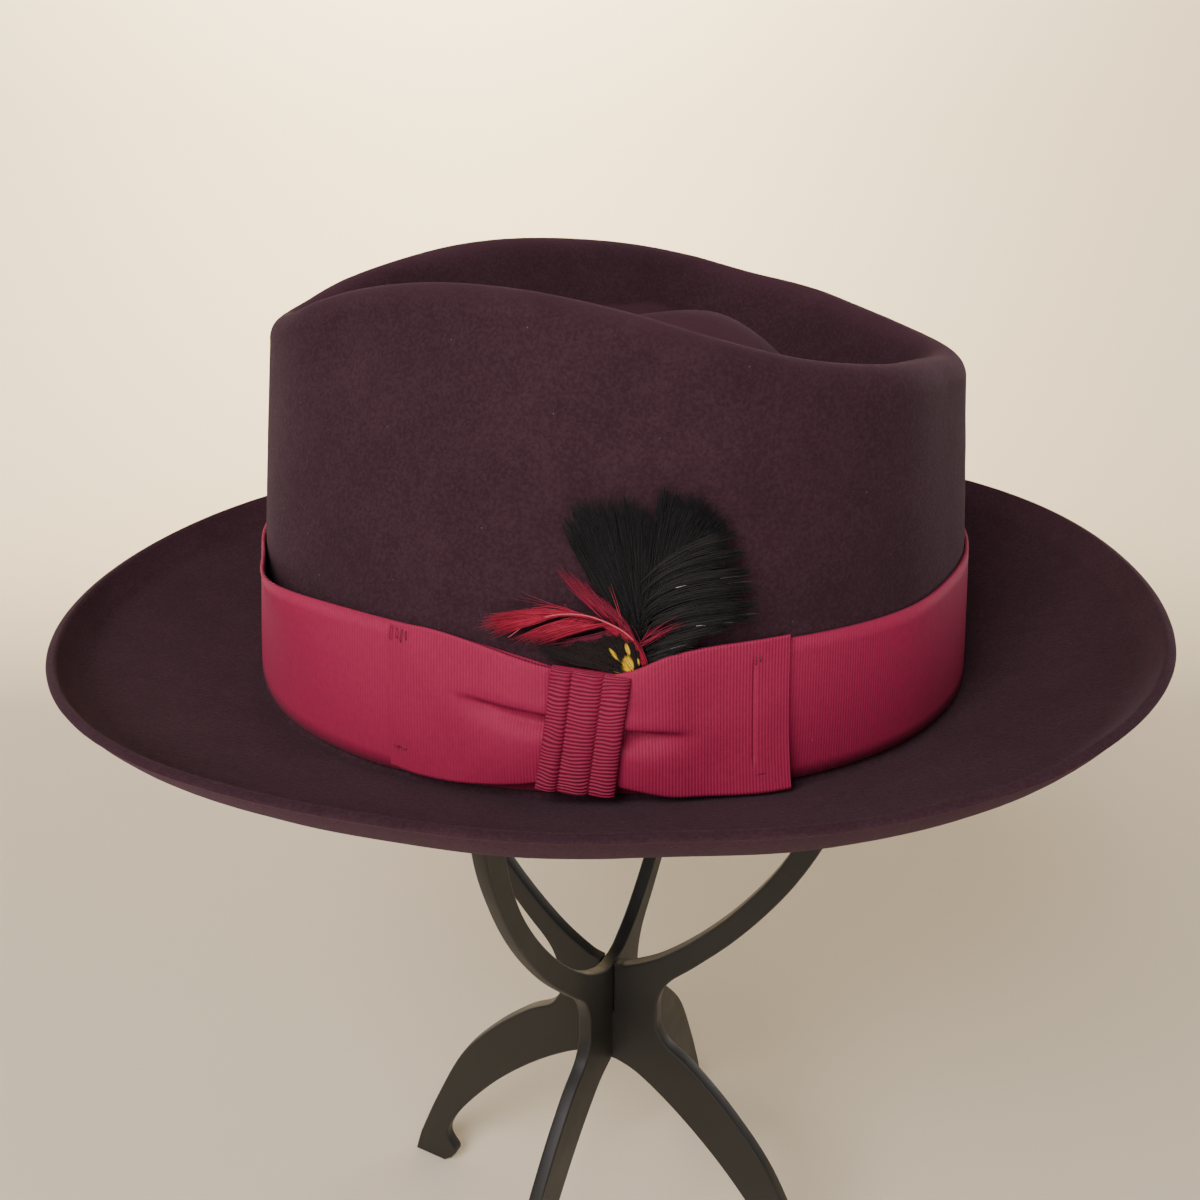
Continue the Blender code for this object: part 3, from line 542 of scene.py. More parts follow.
def make_nap_group():
    """Colour varied by cloudy noise and short crossed fibres; height from the same fibres."""
    group, given, made = new_group("Nap", [("Color", COLOR), ("Pile", COLOR),
                                           ("Pile Amount", NUMBER)],
                                   [("Color", COLOR), ("Height", NUMBER)])
    place = group.nodes.new("ShaderNodeTexCoord").outputs["Object"]
    cloud = remap(group, noise_node(group, place, CLOUD_SCALE, 3.0), 0.35, 0.65)
    fine = noise_node(group, place, FINE_SCALE, 5.0, 0.7)
    coarse = noise_node(group, place, COARSE_SCALE, 4.0, 0.6)
    fibre = math_node(group, "ADD", math_node(group, "MULTIPLY", fine, FINE_SHARE),
                      math_node(group, "MULTIPLY", coarse, 1.0 - FINE_SHARE))
    speck = remap(group, fibre, 0.43, 0.62)
    amount = math_node(group, "MULTIPLY", speck, given.outputs["Pile Amount"], clamp=True)
    color = mix_color(group, amount, given.outputs["Color"], given.outputs["Pile"])
    darker = mix_color(group, math_node(group, "MULTIPLY", cloud, CLOUD_SHADE), color, BLACK)
    wire(group, darker, made.inputs["Color"])
    wire(group, fibre, made.inputs["Height"])
    return group


def make_rib_group():
    """Rounded ribs across U with a twisted-yarn ripple along V, in millimetres."""
    group, given, made = new_group("Ribs", [("Color", COLOR), ("Valley", COLOR),
                                            ("Pitch", NUMBER), ("Depth", NUMBER)],
                                   [("Color", COLOR), ("Height", NUMBER)])
    cloth = group.nodes.new("ShaderNodeUVMap")
    cloth.uv_map = "cloth"
    parts = group.nodes.new("ShaderNodeSeparateXYZ")
    wire(group, cloth.outputs[0], parts.inputs[0])
    turns = math_node(group, "DIVIDE", parts.outputs[0], given.outputs["Pitch"])
    wave = math_node(group, "COSINE", math_node(group, "MULTIPLY", turns, 2 * math.pi))
    rib = math_node(group, "MULTIPLY_ADD", wave, 0.5, 0.5)
    thread = math_node(group, "SINE", math_node(group, "MULTIPLY", parts.outputs[1],
                                                2 * math.pi / THREAD_PITCH))
    uneven = noise_node(group, cloth.outputs[0], 0.6, 4.0, 0.6)
    # Painted shade: the hollows between the ribs are mixed towards the Valley colour.
    hollow = math_node(group, "POWER", math_node(group, "SUBTRACT", 1.0, rib), 2.0)
    share = math_node(group, "MULTIPLY", hollow, given.outputs["Depth"], clamp=True)
    color = mix_color(group, share, given.outputs["Color"], given.outputs["Valley"])
    patch = remap(group, uneven, 0.3, 0.7, 0.0, 0.22)
    color = mix_color(group, patch, color, given.outputs["Valley"])
    height = math_node(group, "MULTIPLY_ADD", thread, 0.05, rib)
    wire(group, color, made.inputs["Color"])
    wire(group, height, made.inputs["Height"])
    return group


def make_lint_group():
    """Rare pale specks: the brightest spots of a fine cell pattern."""
    group, given, made = new_group("Lint", [("Color", COLOR), ("Scale", NUMBER)],
                                   [("Color", COLOR)])
    place = group.nodes.new("ShaderNodeTexCoord").outputs["Object"]
    cells = group.nodes.new("ShaderNodeTexVoronoi")
    wire(group, place, cells.inputs["Vector"])
    wire(group, given.outputs["Scale"], cells.inputs["Scale"])
    close = remap(group, cells.outputs["Distance"], 0.05, 0.02)
    chosen = noise_node(group, cells.outputs["Position"], 400.0, 0.0)
    rare = remap(group, chosen, 0.66, 0.70)
    share = math_node(group, "MULTIPLY", math_node(group, "MULTIPLY", close, rare), 0.5, clamp=True)
    wire(group, mix_color(group, share, given.outputs["Color"], LINT_COLOR), made.inputs["Color"])
    return group


def make_tint_group():
    """A colour from the painted tint: dark at 0, light at 1, pale at 2."""
    group, given, made = new_group("Tint", [("Dark", COLOR), ("Light", COLOR), ("Pale", COLOR)],
                                   [("Color", COLOR)])
    mask = group.nodes.new("ShaderNodeAttribute")
    mask.attribute_name = "tint"
    share = math_node(group, "MULTIPLY", mask.outputs["Fac"], 1.0, clamp=True)
    beyond = math_node(group, "SUBTRACT", mask.outputs["Fac"], 1.0, clamp=True)
    color = mix_color(group, share, given.outputs["Dark"], given.outputs["Light"])
    wire(group, mix_color(group, beyond, color, given.outputs["Pale"]), made.inputs["Color"])
    return group


GROUPS = {"Nap": make_nap_group(), "Ribs": make_rib_group(), "Lint": make_lint_group(),
          "Tint": make_tint_group()}
print("node groups:", sorted(GROUPS))

# %% [markdown]
# Felt, ribbon, feather and plastic are all dull surfaces that differ in roughness, sheen and
# relief. So every finish starts from the same short recipe: a shader whose plain values are
# set once, the shared groups wired into it, and a bump from the group that knows the relief.

# %% Material helpers
def new_finish(name, roughness, specular, sheen=0.0, sheen_tint=WHITE):
    """A material with its Principled shader, whose constant sockets are set here."""
    finish = bpy.data.materials.new(name)
    finish.use_nodes = True
    shader = finish.node_tree.nodes["Principled BSDF"]
    shader.inputs["Roughness"].default_value = roughness
    shader.inputs["Specular IOR Level"].default_value = specular
    shader.inputs["Sheen Weight"].default_value = sheen
    shader.inputs["Sheen Roughness"].default_value = 0.45
    shader.inputs["Sheen Tint"].default_value = sheen_tint
    return finish, finish.node_tree, shader


def use_group(tree, name, **values):
    """A shared group in a finish; the values are numbers, colours or wired outputs."""
    node = tree.nodes.new("ShaderNodeGroup")
    node.node_tree = GROUPS[name]
    for label, value in values.items():
        socket = node.inputs[label.replace("_", " ")]
        if isinstance(value, (int, float, tuple)):
            socket.default_value = value
        else:
            wire(tree, value, socket)
    return node


def dress(tree, shader, color, height, strength, distance):
    """The colour and a bumped normal, wired into the shader; the distance is in metres."""
    wire(tree, color, shader.inputs["Base Color"])
    bump = tree.nodes.new("ShaderNodeBump")
    bump.inputs["Strength"].default_value = strength
    bump.inputs["Distance"].default_value = distance
    wire(tree, height, bump.inputs["Height"])
    wire(tree, bump.outputs["Normal"], shader.inputs["Normal"])


print("material helpers ready")

# %% [markdown]
# Fur felt is matted fibre. It scatters light with hardly a highlight, and a soft halo shows where it
# turns away from the eye, which is what sheen is for. A painted mask lifts the colour in three places:
# along the brim's edge, where brushes wear the nap; on the crest, where hands wear it, with a painted
# highlight as well; and on the mound in the dent, with a painted highlight alone.

# %% Felt finish
FELT_COLOR = (0.038, 0.0168, 0.0222, 1.0)
FELT_PILE = (0.068, 0.033, 0.044, 1.0)
# A paler colour for wear and for the painted highlight on the crest and the mound.
FELT_WORN_AND_LIT = (0.125, 0.044, 0.063, 1.0)
FELT_SHEEN = (0.80, 0.50, 0.62, 1.0)
WEAR_AND_HIGHLIGHT_SHARE = 0.42


def felt_finish():
    finish, tree, shader = new_finish("felt", roughness=0.95, specular=0.10, sheen=0.09,
                                      sheen_tint=FELT_SHEEN)
    # The tint mask paints wear and a painted highlight in the paler colour.
    mask = tree.nodes.new("ShaderNodeAttribute")
    mask.attribute_name = "tint"
    worn_and_lit = math_node(tree, "MULTIPLY", mask.outputs["Fac"], WEAR_AND_HIGHLIGHT_SHARE, clamp=True)
    base = mix_color(tree, worn_and_lit, FELT_COLOR, FELT_WORN_AND_LIT)
    nap = use_group(tree, "Nap", Color=base, Pile=FELT_PILE, Pile_Amount=0.60)
    lint = use_group(tree, "Lint", Color=nap.outputs["Color"], Scale=380.0)
    dress(tree, shader, lint.outputs["Color"], nap.outputs["Height"], strength=0.70,
          distance=0.4 * MM)
    return finish


make_felt(felt_finish())

# %% [markdown]
# Grosgrain is woven with thick weft threads that stand up as ribs across the ribbon. The band
# is one sheet round the crown. Its ribs are in the mesh, a cosine along its length. Its top
# edge stands away from the crown at the front corner, where the felt is pinched in and the
# ribbon isn't, and behind the bow the knot pulls that edge down.

# %% Ribbon helpers
RIB_PITCH = 0.75 * MM
RIB_HEIGHT = 0.022 * MM
BAND_GAPE = 7.0 * MM
GAPE_X = -0.81 * CROWN_HALF_LENGTH
GAPE_TURN = 0.20
SAG_X, SAG_SHARE = -62.0 * MM, 0.78
SAG_DEPTH, SAG_REACH = 0.55 * MM, 0.16
BAND_DENT = 0.16 * MM
BAND_TOP = (
    # x, height share of the band's top edge, which the bow pulls down
    (-44.0, 1.00), (-31.0, 0.955), (-22.5, 0.91), (-16.0, 0.87), (-7.0, 0.81), (5.0, 0.88),
    (12.3, 0.955), (19.6, 0.99), (28.0, 1.00))


def side_angle(x):
    """Angle on the crown's left side at a place along the hat, read from the oval itself."""
    angle = np.linspace(-math.pi, 0.0, 1441)
    return np.interp(x, oval_point(angle)[:, 0], angle)


def cloth_uv(along, share):
    """UV in millimetres: U along the ribbon, V across it; the same for front and back."""
    along, share = np.broadcast_arrays(along, share)
    one = np.stack([along / MM, share * RIBBON_WIDTH / MM], axis=-1).reshape(-1, 2)
    return np.concatenate([one, one])


def band_shape(angle, share):
    """Stand-off of the band: a gape at the front corner, one bell-shaped sag and slow dents."""
    away = np.angle(np.exp(1j * (angle - side_angle(GAPE_X))))
    gape = BAND_GAPE * np.exp(-(away / GAPE_TURN) ** 2) * share ** 2
    sag_around = ((angle - side_angle(SAG_X)) / SAG_REACH) ** 2
    sag = SAG_DEPTH * np.exp(-sag_around - ((share - SAG_SHARE) / SAG_REACH) ** 2)
    oval = oval_point(angle)
    place = np.stack([oval[..., 0], oval[..., 1], share * RIBBON_WIDTH], axis=-1)
    slow = BAND_DENT * (soft_noise(place, 45.0 * MM, 11) + 1.2).clip(0.0)
    return SEAT_GAP + gape + slow + sag


def make_band(finish):
    """The wall's own surface, from the fillet up to the top table, moved out by the stand-off."""
    probe = np.linspace(0, 2 * math.pi, 2001)
    track = wall_on_felt(probe, RIBBON_WIDTH / 2)
    walked = np.concatenate([[0], np.cumsum(np.linalg.norm(np.diff(track, axis=0), axis=1))])
    ribs = round(walked[-1] / RIB_PITCH)
    along = np.linspace(0, walked[-1], ribs * 4, endpoint=False)
    angle = np.interp(along, walked, probe)
    share = np.linspace(0, 1, 11)[:, None]
    offset = band_shape(angle + 0 * share, share + 0 * angle)
    dip_x, dip_share = np.array(BAND_TOP).T
    dip = table_curve(oval_point(angle)[:, 0] / MM, dip_x, dip_share)
    top = np.where(np.sin(angle) < 0, dip, 1.0)
    height = JOIN_RADIUS + SEAT_GAP + share * (RIBBON_WIDTH - SEAT_GAP) * top
    rib = RIB_HEIGHT * np.cos(2 * math.pi * along * ribs / walked[-1])
    front = wall_point(angle + 0 * share, height, offset + RIBBON_THICKNESS + rib)
    back = wall_point(angle + 0 * share, height, offset)
    points, faces = thin_sheet(front, back, closed=True)
    uv = cloth_uv(along * ribs * RIB_PITCH / walked[-1], share)
    piece = add_piece("grosgrain_band", points + crown_foot, faces, finish,
                      ["ribbon_band"], uv=uv)
    print("band length", round(walked[-1] / MM), "mm with", ribs, "ribs")


# %% [markdown]
# The ribbon's dye is one crimson. Its ribs catch the light, and the valleys between them are painted
# darker and redder as painted shade, most of all on the knot. A little sheen gives the dull silk look of
# rayon grosgrain.

# %% Ribbon finishes
RIBBON_COLOR = (0.375, 0.0205, 0.073, 1.0)
# Darker colours for the rib valleys, as painted shade; the knot's is darkest.
RIBBON_VALLEY_SHADE = (0.18, 0.007, 0.028, 1.0)
KNOT_VALLEY_SHADE = (0.105, 0.003, 0.015, 1.0)
RIBBON_SHEEN = (1.0, 0.55, 0.68, 1.0)


def ribbon_finish(name, shade_depth, bump, valley_shade=RIBBON_VALLEY_SHADE):
    finish, tree, shader = new_finish(name, roughness=0.66, specular=0.25, sheen=0.04,
                                      sheen_tint=RIBBON_SHEEN)
    ribs = use_group(tree, "Ribs", Color=RIBBON_COLOR, Valley=valley_shade,
                     Pitch=RIB_PITCH / MM, Depth=shade_depth)
    lint = use_group(tree, "Lint", Color=ribs.outputs["Color"], Scale=320.0)
    dust = use_group(tree, "Lint", Color=lint.outputs["Color"], Scale=900.0)
    dress(tree, shader, dust.outputs["Color"], ribs.outputs["Height"], strength=bump,
          distance=0.2 * MM)
    return finish


# Each finish's first number is how strongly painted shade darkens the rib hollows.
band_cloth = ribbon_finish("band_ribbon", shade_depth=0.18, bump=0.20)
bow_cloth = ribbon_finish("bow_ribbon", shade_depth=0.22, bump=0.24)
knot_cloth = ribbon_finish("knot_ribbon", shade_depth=0.90, bump=0.6, valley_shade=KNOT_VALLEY_SHADE)
make_band(band_cloth)

# %% [markdown]
# The bow is flat: a front panel tacked to the band, a rear panel with a cut end, and a strip
# wrapped across the middle. The panels narrow and lift where the knot gathers them, and one
# crease runs out of the knot across each. A panel is a function of the place along it and the
# share across it, with short tables for its edges and its lift.

# %% Bow panels
BOW_FRONT_X = -54.0 * MM
BOW_REAR_X = 40.4 * MM
KNOT_X = -7.4 * MM
BOW_LIFT = 4.6 * MM
PLEAT_DEPTH = 4.2 * MM
TAIL_FLARE = 4.0 * MM
SEAM_X = 32.0 * MM
SEAM_DEPTH, SEAM_HALF_WIDTH = 0.42 * MM, 0.35 * MM
SEAM_START, SEAM_END = 0.15, 0.92
CREASE_ABOVE, CREASE_BELOW = 0.026, 0.11
CREASE_LIP = 1.0 * MM
PANEL_DENT = 0.12 * MM
LOOSE_RISE = 0.35 * MM
PANEL_ROWS = 56
FRONT_TABLE = (
    # along, lower, upper, lift
    (0.00, 0.02, 0.99, 0.00), (0.25, 0.02, 1.00, 0.16), (0.50, 0.05, 0.965, 0.50),
    (0.68, 0.09, 0.92, 0.75), (0.82, 0.12, 0.88, 0.72), (1.00, 0.16, 0.84, 0.50))
# One crease on each panel: start and end along it, then its middle across at both.
FRONT_FOLDS = ((0.30, 0.86, 0.62, 0.56),)
REAR_FOLDS = ((0.42, 0.86, 0.41, 0.50),)
REAR_TABLE = (
    # along, lower, upper, lift
    (0.00, 0.012, 1.03, 0.06), (0.22, 0.012, 1.02, 0.04), (0.45, 0.03, 1.00, 0.35),
    (0.60, 0.05, 0.965, 0.80), (0.75, 0.095, 0.89, 0.95), (1.00, 0.16, 0.82, 0.50))


def crease(along, share, start, end, middle_start, middle_end):
    """A one-sided groove: sharp under its upper lip, easing away below it."""
    run = np.clip((along - start) / (end - start), 0.0, 1.0)
    middle = middle_start + (middle_end - middle_start) * run
    off = share - middle
    profile = np.where(off > 0, np.exp(-(off / CREASE_ABOVE) ** 2),
                       np.exp(-(off / CREASE_BELOW) ** 2))
    lip = 0.35 * np.exp(-((off - 0.10) / 0.07) ** 2)
    return smooth_step(run / 0.85) * (PLEAT_DEPTH * profile - CREASE_LIP * lip)


def panel_grids(table, free_x, folds, flare, fade):
    """Front and back of a panel: edges and lift by its table, less the creases, plus the ribs.

    The flare lifts the free end's lower corner, and fade thins the cloth towards the free end.
    """
    length = abs(KNOT_X - free_x)
    columns = int(round(length / RIB_PITCH)) * 6 + 1
    along = np.linspace(0, 1, columns)
    share = np.linspace(0, 1, PANEL_ROWS)[:, None]
    stations, lower, upper, lift = (np.array(column) for column in zip(*table))
    end_x = KNOT_X + math.copysign(SEAT_GAP, free_x)
    x = free_x + (end_x - free_x) * along
    low = RIBBON_WIDTH * table_curve(along, stations, lower)
    high = RIBBON_WIDTH * table_curve(along, stations, upper)
    height = JOIN_RADIUS + SEAT_GAP + low + (high - low) * share
    rise = BOW_LIFT * np.maximum(table_curve(along, stations, lift), 0.0)
    rise = rise * (0.78 + 0.22 * np.sin(math.pi * share).clip(0.0) ** 0.5)
    for fold in folds:
        rise = rise - np.minimum(crease(along, share, *fold), 0.85 * rise)
    rise = rise + flare * (1.0 - share) ** 3 * (1.0 - smooth_step(along / 0.9))
    seam = SEAM_DEPTH * np.exp(-((x - SEAM_X) / SEAM_HALF_WIDTH) ** 2)
    seam = seam * smooth_step((share - SEAM_START) / 0.1) * smooth_step((SEAM_END - share) / 0.1)
    place = np.stack([x + 0 * share, height, 0 * height], axis=-1)
    rise = rise + PANEL_DENT * (soft_noise(place, 16.0 * MM, 21) + 1.0).clip(0.0)
    seat = 2 * SEAT_GAP + RIBBON_THICKNESS + LOOSE_RISE * (1 - fade)
    thick = RIBBON_THICKNESS * (1.0 - fade * (1.0 - smooth_step(along / 0.16)) * 0.9) * 0.8
    rib = RIB_HEIGHT * 1.4 * np.cos(2 * math.pi * along * length / RIB_PITCH)
    rib = rib * (1.0 - 0.5 * fade * (1.0 - smooth_step(along / 0.3)))
    angle = side_angle(x) + 0 * share
    inner = seat + rise
    outer = inner + thick + rib - seam
    uv_along = along * length + 0 * share
    if free_x > 0:
        angle, height, inner, outer = (part[:, ::-1] for part in (angle, height, inner, outer))
        uv_along = uv_along[:, ::-1]
    front = wall_point(angle, height, outer)
    back = wall_point(angle, height, inner)
    return front, back, cloth_uv(uv_along, share)


def make_panel(name, node, table, free_x, folds, flare, fade, finish):
    """One panel as a thin sheet."""
    front, back, uv = panel_grids(table, free_x, folds, flare, fade)
    points, faces = thin_sheet(front, back)
    piece = add_piece(name, points + crown_foot, faces, finish, [node], uv=uv)
    return piece


make_panel("bow_front", "bow_front_panel", FRONT_TABLE, BOW_FRONT_X, FRONT_FOLDS,
           flare=0.0, fade=1.0, finish=bow_cloth)
make_panel("bow_rear", "bow_rear_panel", REAR_TABLE, BOW_REAR_X, REAR_FOLDS,
           flare=TAIL_FLARE, fade=0.5, finish=bow_cloth)

# %% [markdown]
# The knot is a narrower piece of the same ribbon, wrapped over the panels so that its ribs
# run level. It was gathered into three pleats, and at each pleat the ribs step and tilt. So it
# is made as a profile, the wrap, that is carried across the pleats, with its ribs in the mesh.

# %% Bow knot
KNOT_WIDTH = 18.0 * MM
KNOT_MIDDLE_X = -6.6 * MM
KNOT_SLANT = 5.2 * MM
KNOT_FALL = 1.4 * MM
KNOT_PROUD = 5.6 * MM
KNOT_PITCH = 0.95 * MM
KNOT_RIB = 0.075 * MM
KNOT_WAIST = 0.05
KNOT_TILTS = (0.02, -0.05, -0.11)
PLEAT_LINES = (0.27, 0.66)
PLEAT_RELIEF = 1.15 * MM
KNOT_WRAP = (
    # height share of the ribbon's width, stand-off share of the knot's
    (0.825, 0.00), (0.86, 0.16), (0.865, 0.62), (0.845, 0.86), (0.78, 0.97), (0.65, 1.00),
    (0.46, 1.00), (0.28, 1.00), (0.155, 0.97), (0.095, 0.86), (0.075, 0.62), (0.08, 0.20),
    (0.12, 0.00))


def pleat_relief(across):
    """Each pleat swells gently and then drops sharply at its line."""
    edges = (0.0,) + PLEAT_LINES + (1.0,)
    relief = np.zeros_like(across)
    for low, high in zip(edges[:-1], edges[1:]):
        inside = np.clip((across - low) / (high - low), 0.0, 1.0)
        bump = np.sin(math.pi * inside ** 1.6).clip(0.0) ** 0.5
        relief = relief + np.where((across >= low) & (across < high), bump, 0.0)
    return PLEAT_RELIEF * relief


def make_knot(finish):
    """The wrap's height and stand-off carried across, plus the pleats, plus a cosine of ribs."""
    wrap = np.array(KNOT_WRAP)
    travel = np.linspace(0, len(wrap) - 1, 280)
    share = table_curve(travel, np.arange(len(wrap)), wrap[:, 0])[:, None]
    proud = table_curve(travel, np.arange(len(wrap)), wrap[:, 1])[:, None].clip(0.0, 1.02)
    across = np.linspace(0.0, 1.0, 81)
    height = JOIN_RADIUS + SEAT_GAP + RIBBON_WIDTH * share - KNOT_FALL * (across - 0.5)
    seat = 2 * SEAT_GAP + RIBBON_THICKNESS
    reliefs = pleat_relief(across) * smooth_step((proud - 0.5) / 0.4)
    offset = seat + RIBBON_THICKNESS + KNOT_PROUD * proud * 0.92 + reliefs
    waist = 1.0 - KNOT_WAIST * np.sin(math.pi * np.clip(share, 0, 1))
    x = KNOT_MIDDLE_X + KNOT_WIDTH * (across - 0.5) * waist + KNOT_SLANT * (share - 0.5)
    track = wall_point(side_angle(x), height, offset)[::-1]
    normal = unit(np.cross(np.gradient(track, axis=1), np.gradient(track, axis=0)))
    steps = np.linalg.norm(np.diff(track[:, 40], axis=0), axis=1)
    walked = np.concatenate([[0], np.cumsum(steps)])
    pleat = (across > PLEAT_LINES[0]).astype(float) + (across > PLEAT_LINES[1])
    tilt = KNOT_WIDTH * np.array(KNOT_TILTS)[pleat.astype(int)]
    along = walked[:, None] + tilt * across + 0.3 * KNOT_PITCH * pleat
    along = along + 0.22 * KNOT_PITCH * soft_noise(track, 7.0 * MM, 31)
    rib = KNOT_RIB * np.cos(2 * math.pi * along / KNOT_PITCH)
    front = track + normal * rib[..., None]
    back = track - normal * 0.7 * RIBBON_THICKNESS
    points, faces = thin_sheet(front, back)
    v = across * KNOT_WIDTH / MM + 0 * along
    uv = np.stack([along / MM * RIB_PITCH / KNOT_PITCH, v], axis=-1).reshape(-1, 2)
    piece = add_piece("knot_wrap", points + crown_foot, faces, finish, ["bow_knot"],
                      uv=np.concatenate([uv, uv]))


make_knot(knot_cloth)

# %% [markdown]
# Tiny hand stitches hold the bow: short upright ones and a tack at the front end, and a long
# seam with a tack at each end on the tail. Each is a bent thread, a small tube whose ends dive
# into the cloth.

# %% Stitches
THREAD_RADIUS = 0.11 * MM
THREAD_COLOR = (0.13, 0.008, 0.022, 1.0)
THREAD_PILE = (0.24, 0.02, 0.05, 1.0)
SEAT_OF_BOW = 2 * SEAT_GAP + 2 * RIBBON_THICKNESS
STITCH_DIVE, STITCH_ARCH = 0.1, 0.55
STITCHES = (
    # x, height, direction in degrees, length, stand-off
    (-53.0, 36.6, 86.0, 3.2, 0.0), (-51.4, 36.8, 92.0, 2.4, 0.0), (-50.2, 36.4, 84.0, 3.0, 0.05),
    (-48.9, 36.7, 96.0, 2.2, 0.1), (-51.8, 9.5, 2.0, 1.6, 0.0), (-50.0, 9.3, -6.0, 1.6, 0.05),
    (32.2, 35.6, 88.0, 2.2, 0.1), (33.2, 35.9, 95.0, 1.6, 0.1), (33.6, 7.6, 3.0, 2.8, 2.3))


def tube(path, radius, sides=6, taper=0.0):
    """A tube of rings square to a path; taper narrows its far end."""
    forward = unit(np.gradient(path, axis=0))
    side = unit(np.cross(forward, np.array([0.13, 1.0, 0.21])))
    up = np.cross(side, forward)
    turn = np.linspace(0, 2 * math.pi, sides, endpoint=False)
    size = radius * (1.0 - taper * np.linspace(0, 1, len(path)))[:, None, None]
    across = np.cos(turn)[:, None] * side[:, None] + np.sin(turn)[:, None] * up[:, None]
    rings = path[:, None] + size * across
    faces = grid_quads(len(path), sides, 0, True)[:, ::-1].tolist()
    last = (len(path) - 1) * sides
    faces.append(list(range(sides)))
    faces.append([last + k for k in range(sides)][::-1])
    return rings.reshape(-1, 3), faces


def join_parts(parts):
    """Several (points, faces) pairs as one."""
    points, faces, start = [], [], 0
    for part_points, part_faces in parts:
        points.append(part_points)
        faces += [[index + start for index in face] for face in part_faces]
        start += len(part_points)
    return np.concatenate(points), faces


def make_stitches(finish):
    """Each thread arches by 1 minus the fourth power of its run, so both of its ends dive."""
    parts = []
    run = np.linspace(-0.5, 0.5, 9)
    for x, height, degrees, length, lift in STITCHES:
        turn = math.radians(degrees)
        along_x = (x + length * run * math.cos(turn)) * MM
        along_z = (height + length * run * math.sin(turn)) * MM
        arch = SEAT_OF_BOW + (lift - STITCH_DIVE + STITCH_ARCH * (1 - (2 * run) ** 4)) * MM
        parts.append(tube(wall_point(side_angle(along_x), along_z, arch), THREAD_RADIUS))
    points, faces = join_parts(parts)
    add_piece("bow_stitches", points + crown_foot, faces, finish, [])


def thread_finish():
    finish, tree, shader = new_finish("sewing_thread", roughness=0.6, specular=0.5, sheen=0.1)
    nap = use_group(tree, "Nap", Color=THREAD_COLOR, Pile=THREAD_PILE, Pile_Amount=0.5)
    dress(tree, shader, nap.outputs["Color"], nap.outputs["Height"], strength=0.3,
          distance=0.1 * MM)
    return finish


make_stitches(thread_finish())

# %% [markdown]
# A feather is a quill with hundreds of barbs. Each barb here is a thin three-sided tube that
# follows a quadratic curve over the crown's wall, from its root to its tip, and tapers. All
# barbs of a feather are worked out together as arrays and joined into one mesh.

# %% Barb helper
def barb_points(root, bend, tip, offset, width, steps=7, curl=0.0):
    """Three-sided tubes along (1-t)^2 root + 2t(1-t) bend + t^2 tip, given in mm over the wall."""
    t = np.linspace(0, 1, steps)[None, :, None]
    flat = (1 - t) ** 2 * root[:, None] + 2 * t * (1 - t) * bend[:, None] + t ** 2 * tip[:, None]
    ahead = unit(np.gradient(flat, axis=1))
    side = np.stack([-ahead[..., 1], ahead[..., 0]], axis=-1)
    t = t[..., 0]
    reach = width[:, None] * (1.0 - 0.85 * t ** 1.5)
    off = offset[:, None] + curl * t ** 2
    rings = []
    for across, lift in ((-0.5, 0.0), (0.5, 0.0), (0.0, 0.45)):
        level = flat + side * (reach * across)[..., None]
        rings.append(wall_point(side_angle(level[..., 0] * MM), level[..., 1] * MM,
                                (off + reach * lift) * MM))
    return np.stack(rings, axis=2)


def barb_mesh(rings):
    """Faces of many closed three-sided tubes given as (barb, step, corner, xyz)."""
    count, steps = rings.shape[:2]
    one = grid_quads(steps, 3, 0, True)
    starts = (np.arange(count) * steps * 3)[:, None, None]
    quads = (one[None] + starts).reshape(-1, 4)
    last = (steps - 1) * 3
    caps = np.array([[2, 1, 0], [last, last + 1, last + 2]])
    caps = (caps[None] + starts).reshape(-1, 3)
    return rings.reshape(-1, 3), quads.tolist() + caps.tolist()


def barb_tint(rings, shade):
    """One shade for each barb, repeated for all its vertices."""
    return np.broadcast_to(shade[:, None, None], rings.shape[:3]).ravel()


print("barb helpers ready")

# %% [markdown]
# Barbs of one feather lie side by side and only slowly change direction. So a feather is drawn
# by a few guide curves, and every barb is a mix of its two neighbouring guides. A sine term
# gathers the barbs in locks, the barbs between two locks are shorter, and seeded unevenness
# frays the ends. A guide is the root, the bend and the tip, each as millimetres along the hat
# and above the crown's foot.

# %% Barbs between guides
def guided_barbs(draw, guides, count, locks, loose, ragged, late):
    """Mix of the guides at place + 0.75 sin(2 pi locks place) / (2 pi locks), cut at its start."""
    spread = np.sort(draw.uniform(0, 1, count))
    place = spread + 0.75 * np.sin(2 * math.pi * locks * spread) / (2 * math.pi * locks)
    table = np.array(guides, float)
    stations = np.linspace(0, 1, len(table))
    mixed = np.stack([table_curve(place, stations, table[:, k]) for k in range(6)], axis=-1)
    mixed += draw.normal(0, 1, mixed.shape) * loose * np.array([0.5, 0.5, 1.0, 1.0, 1.2, 1.2])
    root, bend, tip = mixed[:, :2], mixed[:, 2:4], mixed[:, 4:]
    gap = 0.5 + 0.5 * np.cos(2 * math.pi * locks * spread)
    short = np.abs(draw.normal(0, ragged, count)) + 1.6 * ragged * gap ** 2
    tip = bend + (tip - bend) * (1.0 - short)[:, None]
    start = draw.uniform(0, late, count)[:, None]
    root = (1 - start) ** 2 * root + 2 * start * (1 - start) * bend + start ** 2 * tip
    bend = (1 - start) * bend + start * tip
    return root, bend, tip, np.sin(2 * math.pi * locks * spread)


